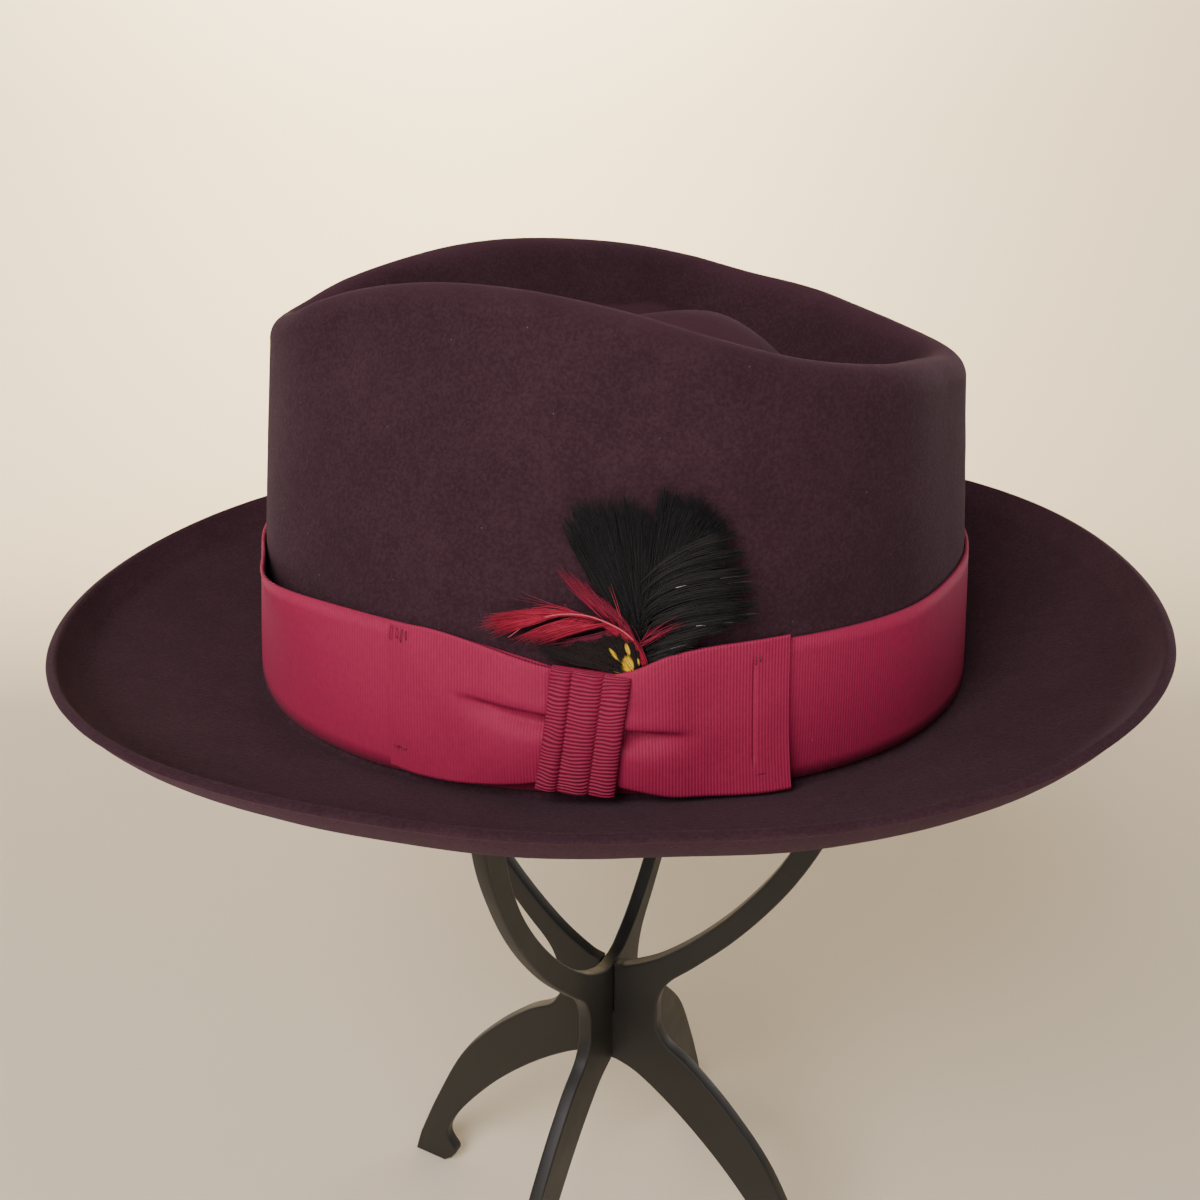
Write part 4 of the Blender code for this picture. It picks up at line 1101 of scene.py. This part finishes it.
def feather_parts(draw, parts, lock_lift, loose_lift, thin, thick, curl, lock_shade, loose_shade):
    """Barbs and shades of every row of a feather's table; lift and shade follow the locks."""
    groups, shades = [], []
    for guides, count, locks, loose, ragged, late, offset, width, dark, light in parts:
        root, bend, tip, lock = guided_barbs(draw, guides, count, locks, loose, ragged, late)
        lift = offset + lock_lift * lock + draw.uniform(-loose_lift, loose_lift, count)
        size = draw.uniform(thin, thick, count) * width
        groups.append(barb_points(root, bend, tip, lift, size, curl=curl))
        # On the glossy vane the lighter and darker locks are painted sheen.
        share = 0.5 + lock_shade * lock + loose_shade * draw.uniform(-1, 1, count)
        shades.append(dark + (light - dark) * share)
    return groups, shades


print("guided barbs ready")

# %% [markdown]
# The black plume has three parts. Two stand up as soft brushes with a notch between them. The third is
# the glossy vane: its barbs leave the quill steeply and curve over until they point to the hat's rear.
# Its locks are painted lighter and darker as painted sheen, and a few thin threads are painted pale as
# painted glints, like silver threads.

# %% Black feather
LEFT_BRUSH = (
    # root x, root height, bend x, bend height, tip x, tip height
    (6.2, 38.6, -3.8, 52.6, -10.9, 67.0), (6.3, 39.0, -1.9, 54.0, -8.3, 71.2),
    (6.4, 40.0, 0.5, 54.5, -4.7, 72.0), (6.5, 41.5, 2.8, 55.9, 0.0, 73.0),
    (6.6, 43.0, 4.9, 55.9, 4.5, 73.2), (6.7, 44.5, 7.1, 55.9, 8.4, 71.4),
    (6.7, 45.6, 8.4, 55.0, 10.6, 67.5))
MIDDLE_BRUSH = (
    (6.7, 42.9, 9.4, 57.6, 12.4, 76.0), (6.7, 43.5, 10.9, 57.6, 16.0, 75.0),
    (6.7, 44.0, 12.9, 57.6, 21.0, 74.2), (6.7, 44.5, 13.7, 56.0, 24.2, 71.4),
    (6.7, 45.0, 14.1, 54.2, 27.0, 67.6))
GLOSSY_VANE = (
    (6.7, 55.0, 13.0, 62.5, 27.2, 68.0), (6.7, 53.4, 12.4, 60.9, 28.6, 64.8),
    (6.7, 50.9, 12.0, 58.0, 30.2, 60.5), (6.7, 47.9, 12.0, 55.5, 31.0, 56.7),
    (6.7, 45.2, 12.4, 52.6, 31.9, 53.2),
    (6.7, 43.1, 12.9, 49.2, 32.5, 49.6), (6.8, 41.1, 12.9, 45.7, 31.9, 47.0),
    (6.9, 39.2, 12.9, 42.6, 27.8, 45.6), (7.0, 37.6, 12.4, 40.0, 20.1, 42.2),
    (7.1, 36.5, 11.1, 38.5, 15.8, 39.8), (7.2, 35.6, 9.4, 36.5, 12.9, 37.4))
# The glossy vane's wide span of shades paints sheen streaks on it.
PLUME_PARTS = (
    # guides, count, locks, looseness, raggedness, latest start, stand-off, width, darkest, lightest
    (LEFT_BRUSH, 900, 9, 0.75, 0.085, 0.7, 2.7, 1.0, 0.0, 0.16),
    (MIDDLE_BRUSH, 720, 6, 0.75, 0.085, 0.7, 2.5, 1.0, 0.0, 0.14),
    (GLOSSY_VANE, 1100, 9, 0.42, 0.085, 0.6, 3.1, 1.0, 0.05, 0.95))
# Painted glints: thin threads whose shade above 1 turns them pale.
PAINTED_GLINTS = (
    # along the guides of the glossy vane, from, to, shade
    (0.29, 0.46, 0.56, 1.9), (0.61, 0.60, 0.67, 1.7), (0.64, 0.82, 0.88, 1.3),
    (0.80, 0.50, 0.75, 1.25), (0.30, 0.80, 0.97, 1.14), (0.34, 0.84, 0.98, 1.12),
    (0.50, 0.86, 0.98, 1.14), (0.57, 0.88, 0.99, 1.12))


def make_black_feather(finish):
    """The three parts, and a few thin threads painted pale over the vane as painted glints."""
    draw = np.random.default_rng(41)
    groups, shades = feather_parts(draw, PLUME_PARTS, lock_lift=0.35, loose_lift=0.5, thin=0.22,
                                   thick=0.46, curl=1.3, lock_shade=0.32, loose_shade=0.18)
    table = np.array(GLOSSY_VANE, float)
    stations = np.linspace(0, 1, len(table))
    # Each painted glint is one thin pale barb between the vane's guides.
    for place, low, high, shade in PAINTED_GLINTS:
        root, bend, tip = (np.array([table_curve(place, stations, table[:, k + j]) for j in (0, 1)])
                           for k in (0, 2, 4))
        ends = [(1 - t) ** 2 * root + 2 * t * (1 - t) * bend + t * t * tip
                for t in (low, (low + high) / 2, high)]
        groups.append(barb_points(ends[0][None], ends[1][None], ends[2][None], np.array([4.3]),
                                  np.array([0.14]), curl=0.8))
        shades.append(np.array([shade]))
    rings = np.concatenate(groups)
    points, faces = barb_mesh(rings)
    add_piece("black_plume", points + crown_foot, faces, finish, ["black_feather"],
              tint=barb_tint(rings, np.concatenate(shades)))


print("barbs in the black plume:", sum(row[1] for row in PLUME_PARTS) + len(PAINTED_GLINTS))

# %% [markdown]
# The red hackle has a pale quill that rises behind the knot, bends over and lies along the
# ribbon's edge towards the hat's front. A narrow brush of barbs stands up and forward from the
# bend, most sweep along the quill, dim ones hang below it, and a few point to the rear.

# %% Red feather
RED_QUILL = (
    # along, x, height, stand-off
    (0.00, 7.9, 33.0, 2.9), (0.14, 6.4, 38.2, 3.6), (0.28, 4.0, 42.6, 4.2),
    (0.42, -0.4, 45.5, 4.6), (0.56, -6.0, 47.2, 4.8), (0.70, -12.0, 46.9, 4.7),
    (0.86, -18.4, 44.5, 4.4), (1.00, -23.5, 40.6, 4.0))
UPRIGHT = (
    (-1.0, 45.3, -6.5, 50.5, -13.6, 57.5), (1.5, 44.5, -3.5, 50.5, -9.6, 56.6),
    (3.5, 43.0, -0.5, 49.0, -5.0, 52.4), (5.5, 40.5, 2.5, 46.5, -1.5, 50.0),
    (7.2, 36.0, 5.2, 42.0, 1.5, 46.5))
LONG_THIN = ((-4.7, 46.8, -11.1, 48.6, -21.6, 51.5), (-3.0, 46.4, -12.5, 48.8, -24.5, 49.4))
ALONG_QUILL = (
    (-1.2, 45.9, -12.4, 49.0, -27.5, 44.8), (-8.1, 47.2, -18.0, 47.2, -30.2, 43.6),
    (-12.4, 46.8, -20.5, 45.2, -29.7, 41.9), (-11.1, 47.0, -19.0, 43.9, -27.0, 40.7))
BELOW_QUILL = (
    (-6.0, 47.0, -14.5, 44.4, -23.5, 39.8), (-2.1, 46.1, -10.7, 44.1, -20.5, 39.5),
    (0.0, 45.2, -7.2, 43.8, -15.4, 39.9))
DIM = (
    (0.5, 44.4, -5.5, 42.2, -14.9, 40.4), (2.2, 43.1, -3.0, 41.3, -11.9, 38.4),
    (3.5, 41.3, 0.5, 39.1, -6.8, 37.6))
TO_REAR = (
    (6.2, 41.4, 9.4, 45.2, 15.8, 48.3), (6.3, 41.0, 11.1, 43.9, 17.6, 47.0),
    (6.4, 40.6, 9.0, 42.6, 12.4, 43.9))
FILAMENTS = ((2.9, 45.5, 2.0, 50.0, 0.7, 55.3), (0.9, 47.6, -0.2, 50.0, -1.8, 52.8))
BODY = (
    (7.0, 36.0, 3.2, 43.0, -4.0, 46.4), (7.6, 34.6, 5.6, 39.6, 0.4, 45.0),
    (8.1, 34.0, 7.2, 38.0, 4.4, 42.4))
QUILL_SHADE = 1.3
RED_PARTS = (
    # guides, count, locks, looseness, raggedness, latest start, stand-off, width, darkest, lightest
    (UPRIGHT, 230, 6, 0.45, 0.22, 0.40, 4.2, 0.19, 0.05, 0.55),
    (LONG_THIN, 5, 2, 0.35, 0.10, 0.20, 4.6, 0.15, 0.20, 0.40),
    (ALONG_QUILL, 330, 6, 0.45, 0.30, 0.45, 4.8, 0.20, 0.45, 1.00),
    (BELOW_QUILL, 190, 5, 0.45, 0.30, 0.40, 4.4, 0.20, 0.35, 0.95),
    (DIM, 80, 4, 0.50, 0.30, 0.30, 3.9, 0.17, 0.02, 0.30),
    (TO_REAR, 34, 3, 0.50, 0.35, 0.30, 4.7, 0.19, 0.10, 0.50),
    (FILAMENTS, 2, 1, 0.02, 0.02, 0.02, 5.2, 0.15, 1.10, 1.20),
    (BODY, 300, 5, 0.40, 0.15, 0.50, 4.4, 0.26, 0.55, 1.00))


def red_quill_at(place):
    """X and height, then stand-off, of the quill's middle."""
    stations, x, height, off = (np.array(column) for column in zip(*RED_QUILL))
    flat = np.stack([table_curve(place, stations, x), table_curve(place, stations, height)], axis=-1)
    return flat, table_curve(place, stations, off)


def make_red_feather(finish):
    """The barbs of every part, and the quill as a tapering tube along its own table."""
    draw = np.random.default_rng(52)
    groups, shades = feather_parts(draw, RED_PARTS, lock_lift=0.2, loose_lift=0.4, thin=0.6,
                                   thick=1.3, curl=0.3, lock_shade=0.3, loose_shade=0.2)
    rings = np.concatenate(groups)
    parts = [barb_mesh(rings)]
    quill, off = red_quill_at(np.linspace(0, 1, 60))
    path = wall_point(side_angle(quill[:, 0] * MM), quill[:, 1] * MM, (off + 0.6) * MM)
    parts.append(tube(path, 0.30 * MM, 8, 0.7))
    points, faces = join_parts(parts)
    tint = np.concatenate([barb_tint(rings, np.concatenate(shades)),
                           np.full(len(parts[1][0]), QUILL_SHADE)])
    add_piece("red_hackle", points + crown_foot, faces, finish, ["red_feather"],
              tint=tint)


print("barbs in the red hackle:", sum(row[1] for row in RED_PARTS))

# %% [markdown]
# The small feather in front is dark brown with yellow spots, and lies down behind the knot's
# upper edge. A real feather is coloured in the barbs themselves, so each barb's vertices are
# marked by whether they fall in one of a few elliptical spots, and the finish turns the mark
# into yellow.

# %% Spotted feather
SPOTTED_GUIDES = (
    (4.7, 34.0, -5.9, 35.3, -19.6, 39.1), (4.8, 34.0, -3.8, 37.8, -12.4, 40.2),
    (4.9, 34.0, -1.2, 39.1, -4.7, 42.0), (5.0, 34.0, 1.3, 39.1, 0.0, 43.4),
    (5.2, 34.0, 3.9, 38.7, 3.0, 42.8), (5.6, 34.0, 6.0, 37.8, 5.8, 40.2))
SPOTS = (
    # x, height, half-length, half-width, direction in degrees
    (3.1, 37.3, 1.90, 1.15, 100.0), (5.8, 35.2, 0.75, 0.60, 90.0), (2.9, 40.9, 1.30, 0.45, 108.0),
    (-0.2, 39.8, 1.50, 0.36, 127.0), (-0.4, 35.0, 1.30, 0.16, 150.0), (0.8, 35.9, 0.60, 0.16, 115.0),
    (5.4, 38.0, 0.75, 0.20, 105.0))


def spot_mask(x, height):
    """1 inside any spot and 0 outside, with a narrow soft edge."""
    mask = np.zeros_like(x)
    for middle_x, middle_z, long, wide, degrees in SPOTS:
        turn = math.radians(degrees)
        ahead = (x - middle_x) * math.cos(turn) + (height - middle_z) * math.sin(turn)
        aside = -(x - middle_x) * math.sin(turn) + (height - middle_z) * math.cos(turn)
        mask = np.maximum(mask, smooth_step((1.15 - np.hypot(ahead / long, aside / wide)) / 0.3))
    return mask


def make_spotted_feather(finish):
    """Dark barbs with more steps than the others, so that a spot's edge falls within a barb."""
    draw = np.random.default_rng(63)
    count = 620
    root, bend, tip, lock = guided_barbs(draw, SPOTTED_GUIDES, count, 5, 0.25, 0.08, 0.55)
    lift = 5.1 + 0.15 * lock + draw.uniform(-0.4, 0.3, count)
    rings = barb_points(root, bend, tip, lift, draw.uniform(0.3, 0.5, count), steps=14)
    points, faces = barb_mesh(rings)
    mask = spot_mask(points[:, 0] / MM, points[:, 2] / MM)
    add_piece("spotted_vane", points + crown_foot, faces, finish, ["spotted_feather"],
              tint=mask)


print("spots on the small feather:", len(SPOTS))

# %% [markdown]
# All three feathers share one look with different colours. The painted tint runs from the dark barbs (0)
# to the light ones (1) and on to the palest threads (2). Barbs are smooth keratin, so they glint, the
# black ones most of all. On the black plume the light barbs are painted sheen and the palest threads are
# painted glints.

# %% Feather finishes
def feather_finish(name, dark, light, pale, roughness, specular):
    finish, tree, shader = new_finish(name, roughness, specular, sheen=0.05)
    color = use_group(tree, "Tint", Dark=dark, Light=light, Pale=pale).outputs["Color"]
    nap = use_group(tree, "Nap", Color=color, Pile=color, Pile_Amount=0.0)
    dress(tree, shader, nap.outputs["Color"], nap.outputs["Height"], strength=0.2,
          distance=0.1 * MM)
    return finish


# Each row is the dark, the light and the pale colour; the black plume's light and pale are painted sheen
# and glints.
BLACK_AND_PAINTED_GLOSS = (0.0030, 0.0025, 0.0030, 1), (0.0170, 0.0145, 0.0125, 1), (0.80, 0.76, 0.72, 1)
REDS = (0.13, 0.010, 0.038, 1), (0.52, 0.008, 0.044, 1), (0.90, 0.30, 0.32, 1)
BROWN_TO_YELLOW = (0.012, 0.0055, 0.0035, 1), (0.88, 0.58, 0.025, 1), (0.9, 0.8, 0.5, 1)
make_black_feather(feather_finish("black_plume", *BLACK_AND_PAINTED_GLOSS, roughness=0.55, specular=0.25))
make_red_feather(feather_finish("red_plume", *REDS, roughness=0.55, specular=0.3))
make_spotted_feather(feather_finish("spotted_plume", *BROWN_TO_YELLOW, roughness=0.6,
                                    specular=0.2))

# %% [markdown]
# The stand is moulded plastic: two flat plates that slot into each other. The frame has them
# with sharp edges, and a moulded edge is never sharp. So each plate's outline is drawn again
# as a flat filled curve with a thickness and a small round bevel, which Blender's curves give
# directly, and turned into a mesh.

# %% Stand outlines
PLATE_THICKNESS = 4.5 * MM
STAND_TURN = math.radians(-26.7)
STAND_SIDE_SHIFT = -4.7 * MM
HUB_HEIGHT = 113.0 * MM
HEAD_HEIGHT = 228.5 * MM
HEAD_CLEARANCE = 4.9 * MM
HEAD_RADIUS = CROWN_HALF_WIDTH - FELT_THICKNESS - HEAD_CLEARANCE
FOOT_RADIUS = 88.0 * MM
EDGE_ROUND = 0.7 * MM
SHARP_ANGLE = math.radians(40)
# The outlines are (reach, height) from the hub, as shares of the head's or the foot's size.
HEAD_OUTSIDE = (
    (0.235, 0.00), (0.24, 0.04), (0.285, 0.078), (0.40, 0.123), (0.55, 0.185), (0.69, 0.254),
    (0.80, 0.32), (0.89, 0.39), (0.96, 0.465), (0.99, 0.55), (0.965, 0.64), (0.905, 0.73),
    (0.82, 0.81), (0.70, 0.88), (0.55, 0.935), (0.38, 0.972), (0.20, 0.993), (0.04, 1.00))
HEAD_INSIDE = (
    (0.04, 0.080), (0.10, 0.087), (0.235, 0.118), (0.395, 0.172), (0.55, 0.238), (0.68, 0.307),
    (0.77, 0.37), (0.83, 0.44), (0.85, 0.52), (0.835, 0.60), (0.785, 0.68), (0.71, 0.755),
    (0.60, 0.82), (0.46, 0.873), (0.31, 0.91), (0.16, 0.93), (0.04, 0.936))
LEG_OUTSIDE = (
    (0.215, -0.03), (0.26, -0.085), (0.37, -0.145), (0.54, -0.275), (0.71, -0.45), (0.86, -0.70),
    (0.965, -0.905))
FOOT_SOLE = ((1.00, -1.00), (0.84, -1.00))
LEG_INSIDE = (
    (0.80, -0.972), (0.775, -0.93), (0.815, -0.87), (0.785, -0.79), (0.68, -0.656),
    (0.51, -0.488), (0.32, -0.342), (0.145, -0.24), (0.03, -0.207))


def smooth_outline(points, radius, height, steps=7):
    """A smooth open curve through (reach, height) shares, scaled to metres."""
    points = np.asarray(points, float) * (radius, height) + (0.0, HUB_HEIGHT)
    place = np.linspace(0, len(points) - 1, (len(points) - 1) * steps + 1)
    index = np.arange(len(points))
    return np.stack([table_curve(place, index, points[:, k]) for k in (0, 1)], axis=-1)


def slotted(half, slot_start, slot_end):
    """A mirrored closed outline from half of one, with square slots where it meets the axis."""
    half_slot = PLATE_THICKNESS / 2 + SEAT_GAP
    first = [] if slot_start is None else [(half_slot, slot_start), (half_slot, half[0][1])]
    last = [] if slot_end is None else [(half_slot, half[-1][1]), (half_slot, slot_end)]
    reach = half_slot + 0.2 * MM if first or last else -math.inf
    half = [point for point in np.asarray(half).tolist() if point[0] > reach]
    right = np.array(first + half + last)
    return np.concatenate([right, (right * (-1.0, 1.0))[::-1]])


def plate_curve(name, outlines, turn, finish, node):
    """A flat filled curve of the outlines, extruded and bevelled, as a mesh in its place."""
    curve = bpy.data.curves.new(name, "CURVE")
    curve.dimensions = "2D"
    curve.fill_mode = "BOTH"
    curve.extrude = PLATE_THICKNESS / 2 - EDGE_ROUND
    curve.bevel_depth = EDGE_ROUND
    curve.bevel_resolution = 3
    curve.offset = -EDGE_ROUND
    for outline in outlines:
        spline = curve.splines.new("POLY")
        spline.points.add(len(outline) - 1)
        flat = np.zeros((len(outline), 4), np.float32)
        flat[:, :2] = outline
        flat[:, 3] = 1.0
        spline.points.foreach_set("co", flat.ravel())
        spline.use_cyclic_u = True
    holder = bpy.data.objects.new(name + "_outline", curve)
    bpy.context.scene.collection.objects.link(holder)
    bpy.context.view_layer.update()
    ready = holder.evaluated_get(bpy.context.evaluated_depsgraph_get())
    mesh = bpy.data.meshes.new_from_object(ready)
    bpy.data.objects.remove(holder)
    points = np.zeros(len(mesh.vertices) * 3, np.float32)
    mesh.vertices.foreach_get("co", points)
    r, z, y = points.reshape(-1, 3).T
    place = np.stack([crown_foot[0] + r * math.cos(turn) + y * math.sin(turn),
                      r * math.sin(turn) - y * math.cos(turn) + STAND_SIDE_SHIFT, z], axis=-1)
    faces = [list(face.vertices) for face in mesh.polygons]
    bpy.data.meshes.remove(mesh)
    piece = add_piece(name, place, faces, finish, [node])
    piece.data.set_sharp_from_angle(angle=SHARP_ANGLE)
    return piece


def make_stand(finish):
    """Head, leg, sole and inner leg make half an outline; the loop is the hole in the head."""
    outside = smooth_outline(HEAD_OUTSIDE[::-1], HEAD_RADIUS, HEAD_HEIGHT)
    legs = smooth_outline(LEG_OUTSIDE, FOOT_RADIUS, HUB_HEIGHT)
    sole = np.asarray(FOOT_SOLE) * (FOOT_RADIUS, HUB_HEIGHT) + (0.0, HUB_HEIGHT)
    inner_leg = smooth_outline(LEG_INSIDE, FOOT_RADIUS, HUB_HEIGHT)
    half = np.concatenate([outside, legs, sole, inner_leg])
    loop = smooth_outline(HEAD_INSIDE, HEAD_RADIUS, HEAD_HEIGHT)
    top = HUB_HEIGHT + HEAD_HEIGHT
    hub = (inner_leg[-1][1] + loop[0][1]) / 2
    crown = (loop[-1][1] + top) / 2
    plate_curve("stand_plate_lower", [slotted(half, crown, None), slotted(loop, hub, None)],
                STAND_TURN, finish, "stand_plate_a")
    plate_curve("stand_plate_upper", [slotted(half, None, hub), slotted(loop, None, crown)],
                STAND_TURN + math.pi / 2, finish, "stand_plate_b")


print("the stand's head reaches", round(HEAD_RADIUS / MM, 1), "mm")

# %% [markdown]
# The plastic is a dark warm grey with a dull eggshell surface. One slow noise gives the faint
# flow marks from the mould, in colour and in gloss, and the lint group adds a little dust.

# %% Stand finish
PLASTIC_DARK = (0.0115, 0.0112, 0.0090, 1.0)
PLASTIC_LIGHT = (0.0175, 0.0170, 0.0138, 1.0)


def plastic_finish():
    finish, tree, shader = new_finish("stand_plastic", roughness=0.5, specular=0.38)
    place = tree.nodes.new("ShaderNodeTexCoord").outputs["Object"]
    flow = noise_node(tree, place, 38.0, 3.0)
    grain = noise_node(tree, place, 1500.0, 3.0)
    color = mix_color(tree, remap(tree, flow, 0.35, 0.65), PLASTIC_DARK, PLASTIC_LIGHT)
    lint = use_group(tree, "Lint", Color=color, Scale=110.0)
    wire(tree, remap(tree, flow, 0.3, 0.7, 0.42, 0.60), shader.inputs["Roughness"])
    dress(tree, shader, lint.outputs["Color"], grain, strength=0.25, distance=0.1 * MM)
    return finish


make_stand(plastic_finish())

# %% [markdown]
# The stage is a plain pale floor that curves up into a low pale wall behind, so that no
# horizon cuts the picture. The key lamp is above the front left and the fill is low at the
# front, which leaves the brim's right side in the crown's shade, as in the photograph. Dark felt
# shows any stray light, so the backdrop's lamp hangs behind the hat and looks away from it, and
# the wall is no larger than the picture needs. Two low lamps light the hat's back.

# %% Stage and lights
STAGE_FRONT = -2.0
STAGE_BACK = 0.75
STAGE_CURVE = 0.35
STAGE_HALF_WIDTH = 1.0
WALL_ABOVE_CURVE = 0.20
STAGE_COLOR = (0.90, 0.80, 0.61, 1.0)
HAT_MIDDLE = (0.0, 0.0, 0.25)
LIGHTS = (
    # name, location, size, power, color, target
    ("key", (-0.50, -0.92, 1.15), 0.8, 19.0, (1.0, 0.93, 0.95), HAT_MIDDLE),
    ("fill", (0.30, -1.50, 0.45), 1.0, 7.5, (1.0, 0.93, 1.0), HAT_MIDDLE),
    ("backdrop", (-0.15, 0.50, 0.85), 0.6, 36.0, (1.0, 0.84, 0.58), (-0.15, 1.10, 0.78)),
    ("rear left", (-1.15, 0.75, 0.36), 0.6, 6.0, (1.0, 0.94, 0.90), HAT_MIDDLE),
    ("rear right", (1.15, 0.75, 0.36), 0.6, 6.0, (1.0, 0.94, 0.90), HAT_MIDDLE))
ROOM_COLOR, ROOM_STRENGTH = (1.0, 0.95, 0.89, 1.0), 0.14
PALE_COLOR, PALE_STRENGTH = (1.0, 0.93, 0.82, 1.0), 0.62


def make_stage():
    """Floor, quarter circle and wall as one strip, in three even stretches of its run."""
    run = np.linspace(0, 1, 60)
    turn = np.clip((run - 0.4) / 0.3, 0, 1) * math.pi / 2
    y = np.where(run < 0.4, STAGE_FRONT + (STAGE_BACK - STAGE_FRONT) * run / 0.4,
                 STAGE_BACK + STAGE_CURVE * np.sin(turn))
    z = np.where(run < 0.4, 0.0, STAGE_CURVE * (1 - np.cos(turn)))
    z = z + np.clip((run - 0.7) / 0.3, 0, 1) * WALL_ABOVE_CURVE
    x = np.linspace(-STAGE_HALF_WIDTH, STAGE_HALF_WIDTH, 3)[:, None]
    grid = np.stack([x + 0 * y, y + 0 * x, z + 0 * x], axis=-1)
    mesh = bpy.data.meshes.new("stage")
    mesh.from_pydata(grid.reshape(-1, 3).tolist(), [], grid_quads(3, 60)[:, ::-1].tolist())
    mesh.shade_smooth()
    stage = bpy.data.objects.new("stage", mesh)
    bpy.context.scene.collection.objects.link(stage)
    finish, tree, shader = new_finish("stage_paper", roughness=0.9, specular=0.1)
    shader.inputs["Base Color"].default_value = STAGE_COLOR
    mesh.materials.append(finish)


def add_light(name, location, size, power, color, target):
    """A square soft lamp that looks from its location at its target."""
    lamp = bpy.data.lights.new(name, "AREA")
    lamp.size = size
    lamp.energy = power
    lamp.color = color
    light = bpy.data.objects.new(name, lamp)
    light.location = location
    aim = np.array(target) - np.array(location)
    level = math.hypot(aim[0], aim[1])
    heading = math.atan2(aim[1], aim[0]) - math.pi / 2
    light.rotation_euler = (math.atan2(level, -aim[2]), 0.0, heading)
    bpy.context.scene.collection.objects.link(light)


def make_room():
    """A dim warm room lights the hat, and the camera sees a pale one past the stage's edge."""
    world = bpy.data.worlds.new("soft_room")
    bpy.context.scene.world = world
    world.use_nodes = True
    tree = world.node_tree
    dim = tree.nodes["Background"]
    dim.inputs["Color"].default_value = ROOM_COLOR
    dim.inputs["Strength"].default_value = ROOM_STRENGTH
    pale = tree.nodes.new("ShaderNodeBackground")
    pale.inputs["Color"].default_value = PALE_COLOR
    pale.inputs["Strength"].default_value = PALE_STRENGTH
    seen = tree.nodes.new("ShaderNodeMixShader")
    wire(tree, tree.nodes.new("ShaderNodeLightPath").outputs["Is Camera Ray"], seen.inputs[0])
    wire(tree, dim.outputs[0], seen.inputs[1])
    wire(tree, pale.outputs[0], seen.inputs[2])
    wire(tree, seen.outputs[0], tree.nodes["World Output"].inputs["Surface"])


make_stage()
for lamp_row in LIGHTS:
    add_light(*lamp_row)
make_room()
print("lights ready:", len(LIGHTS))
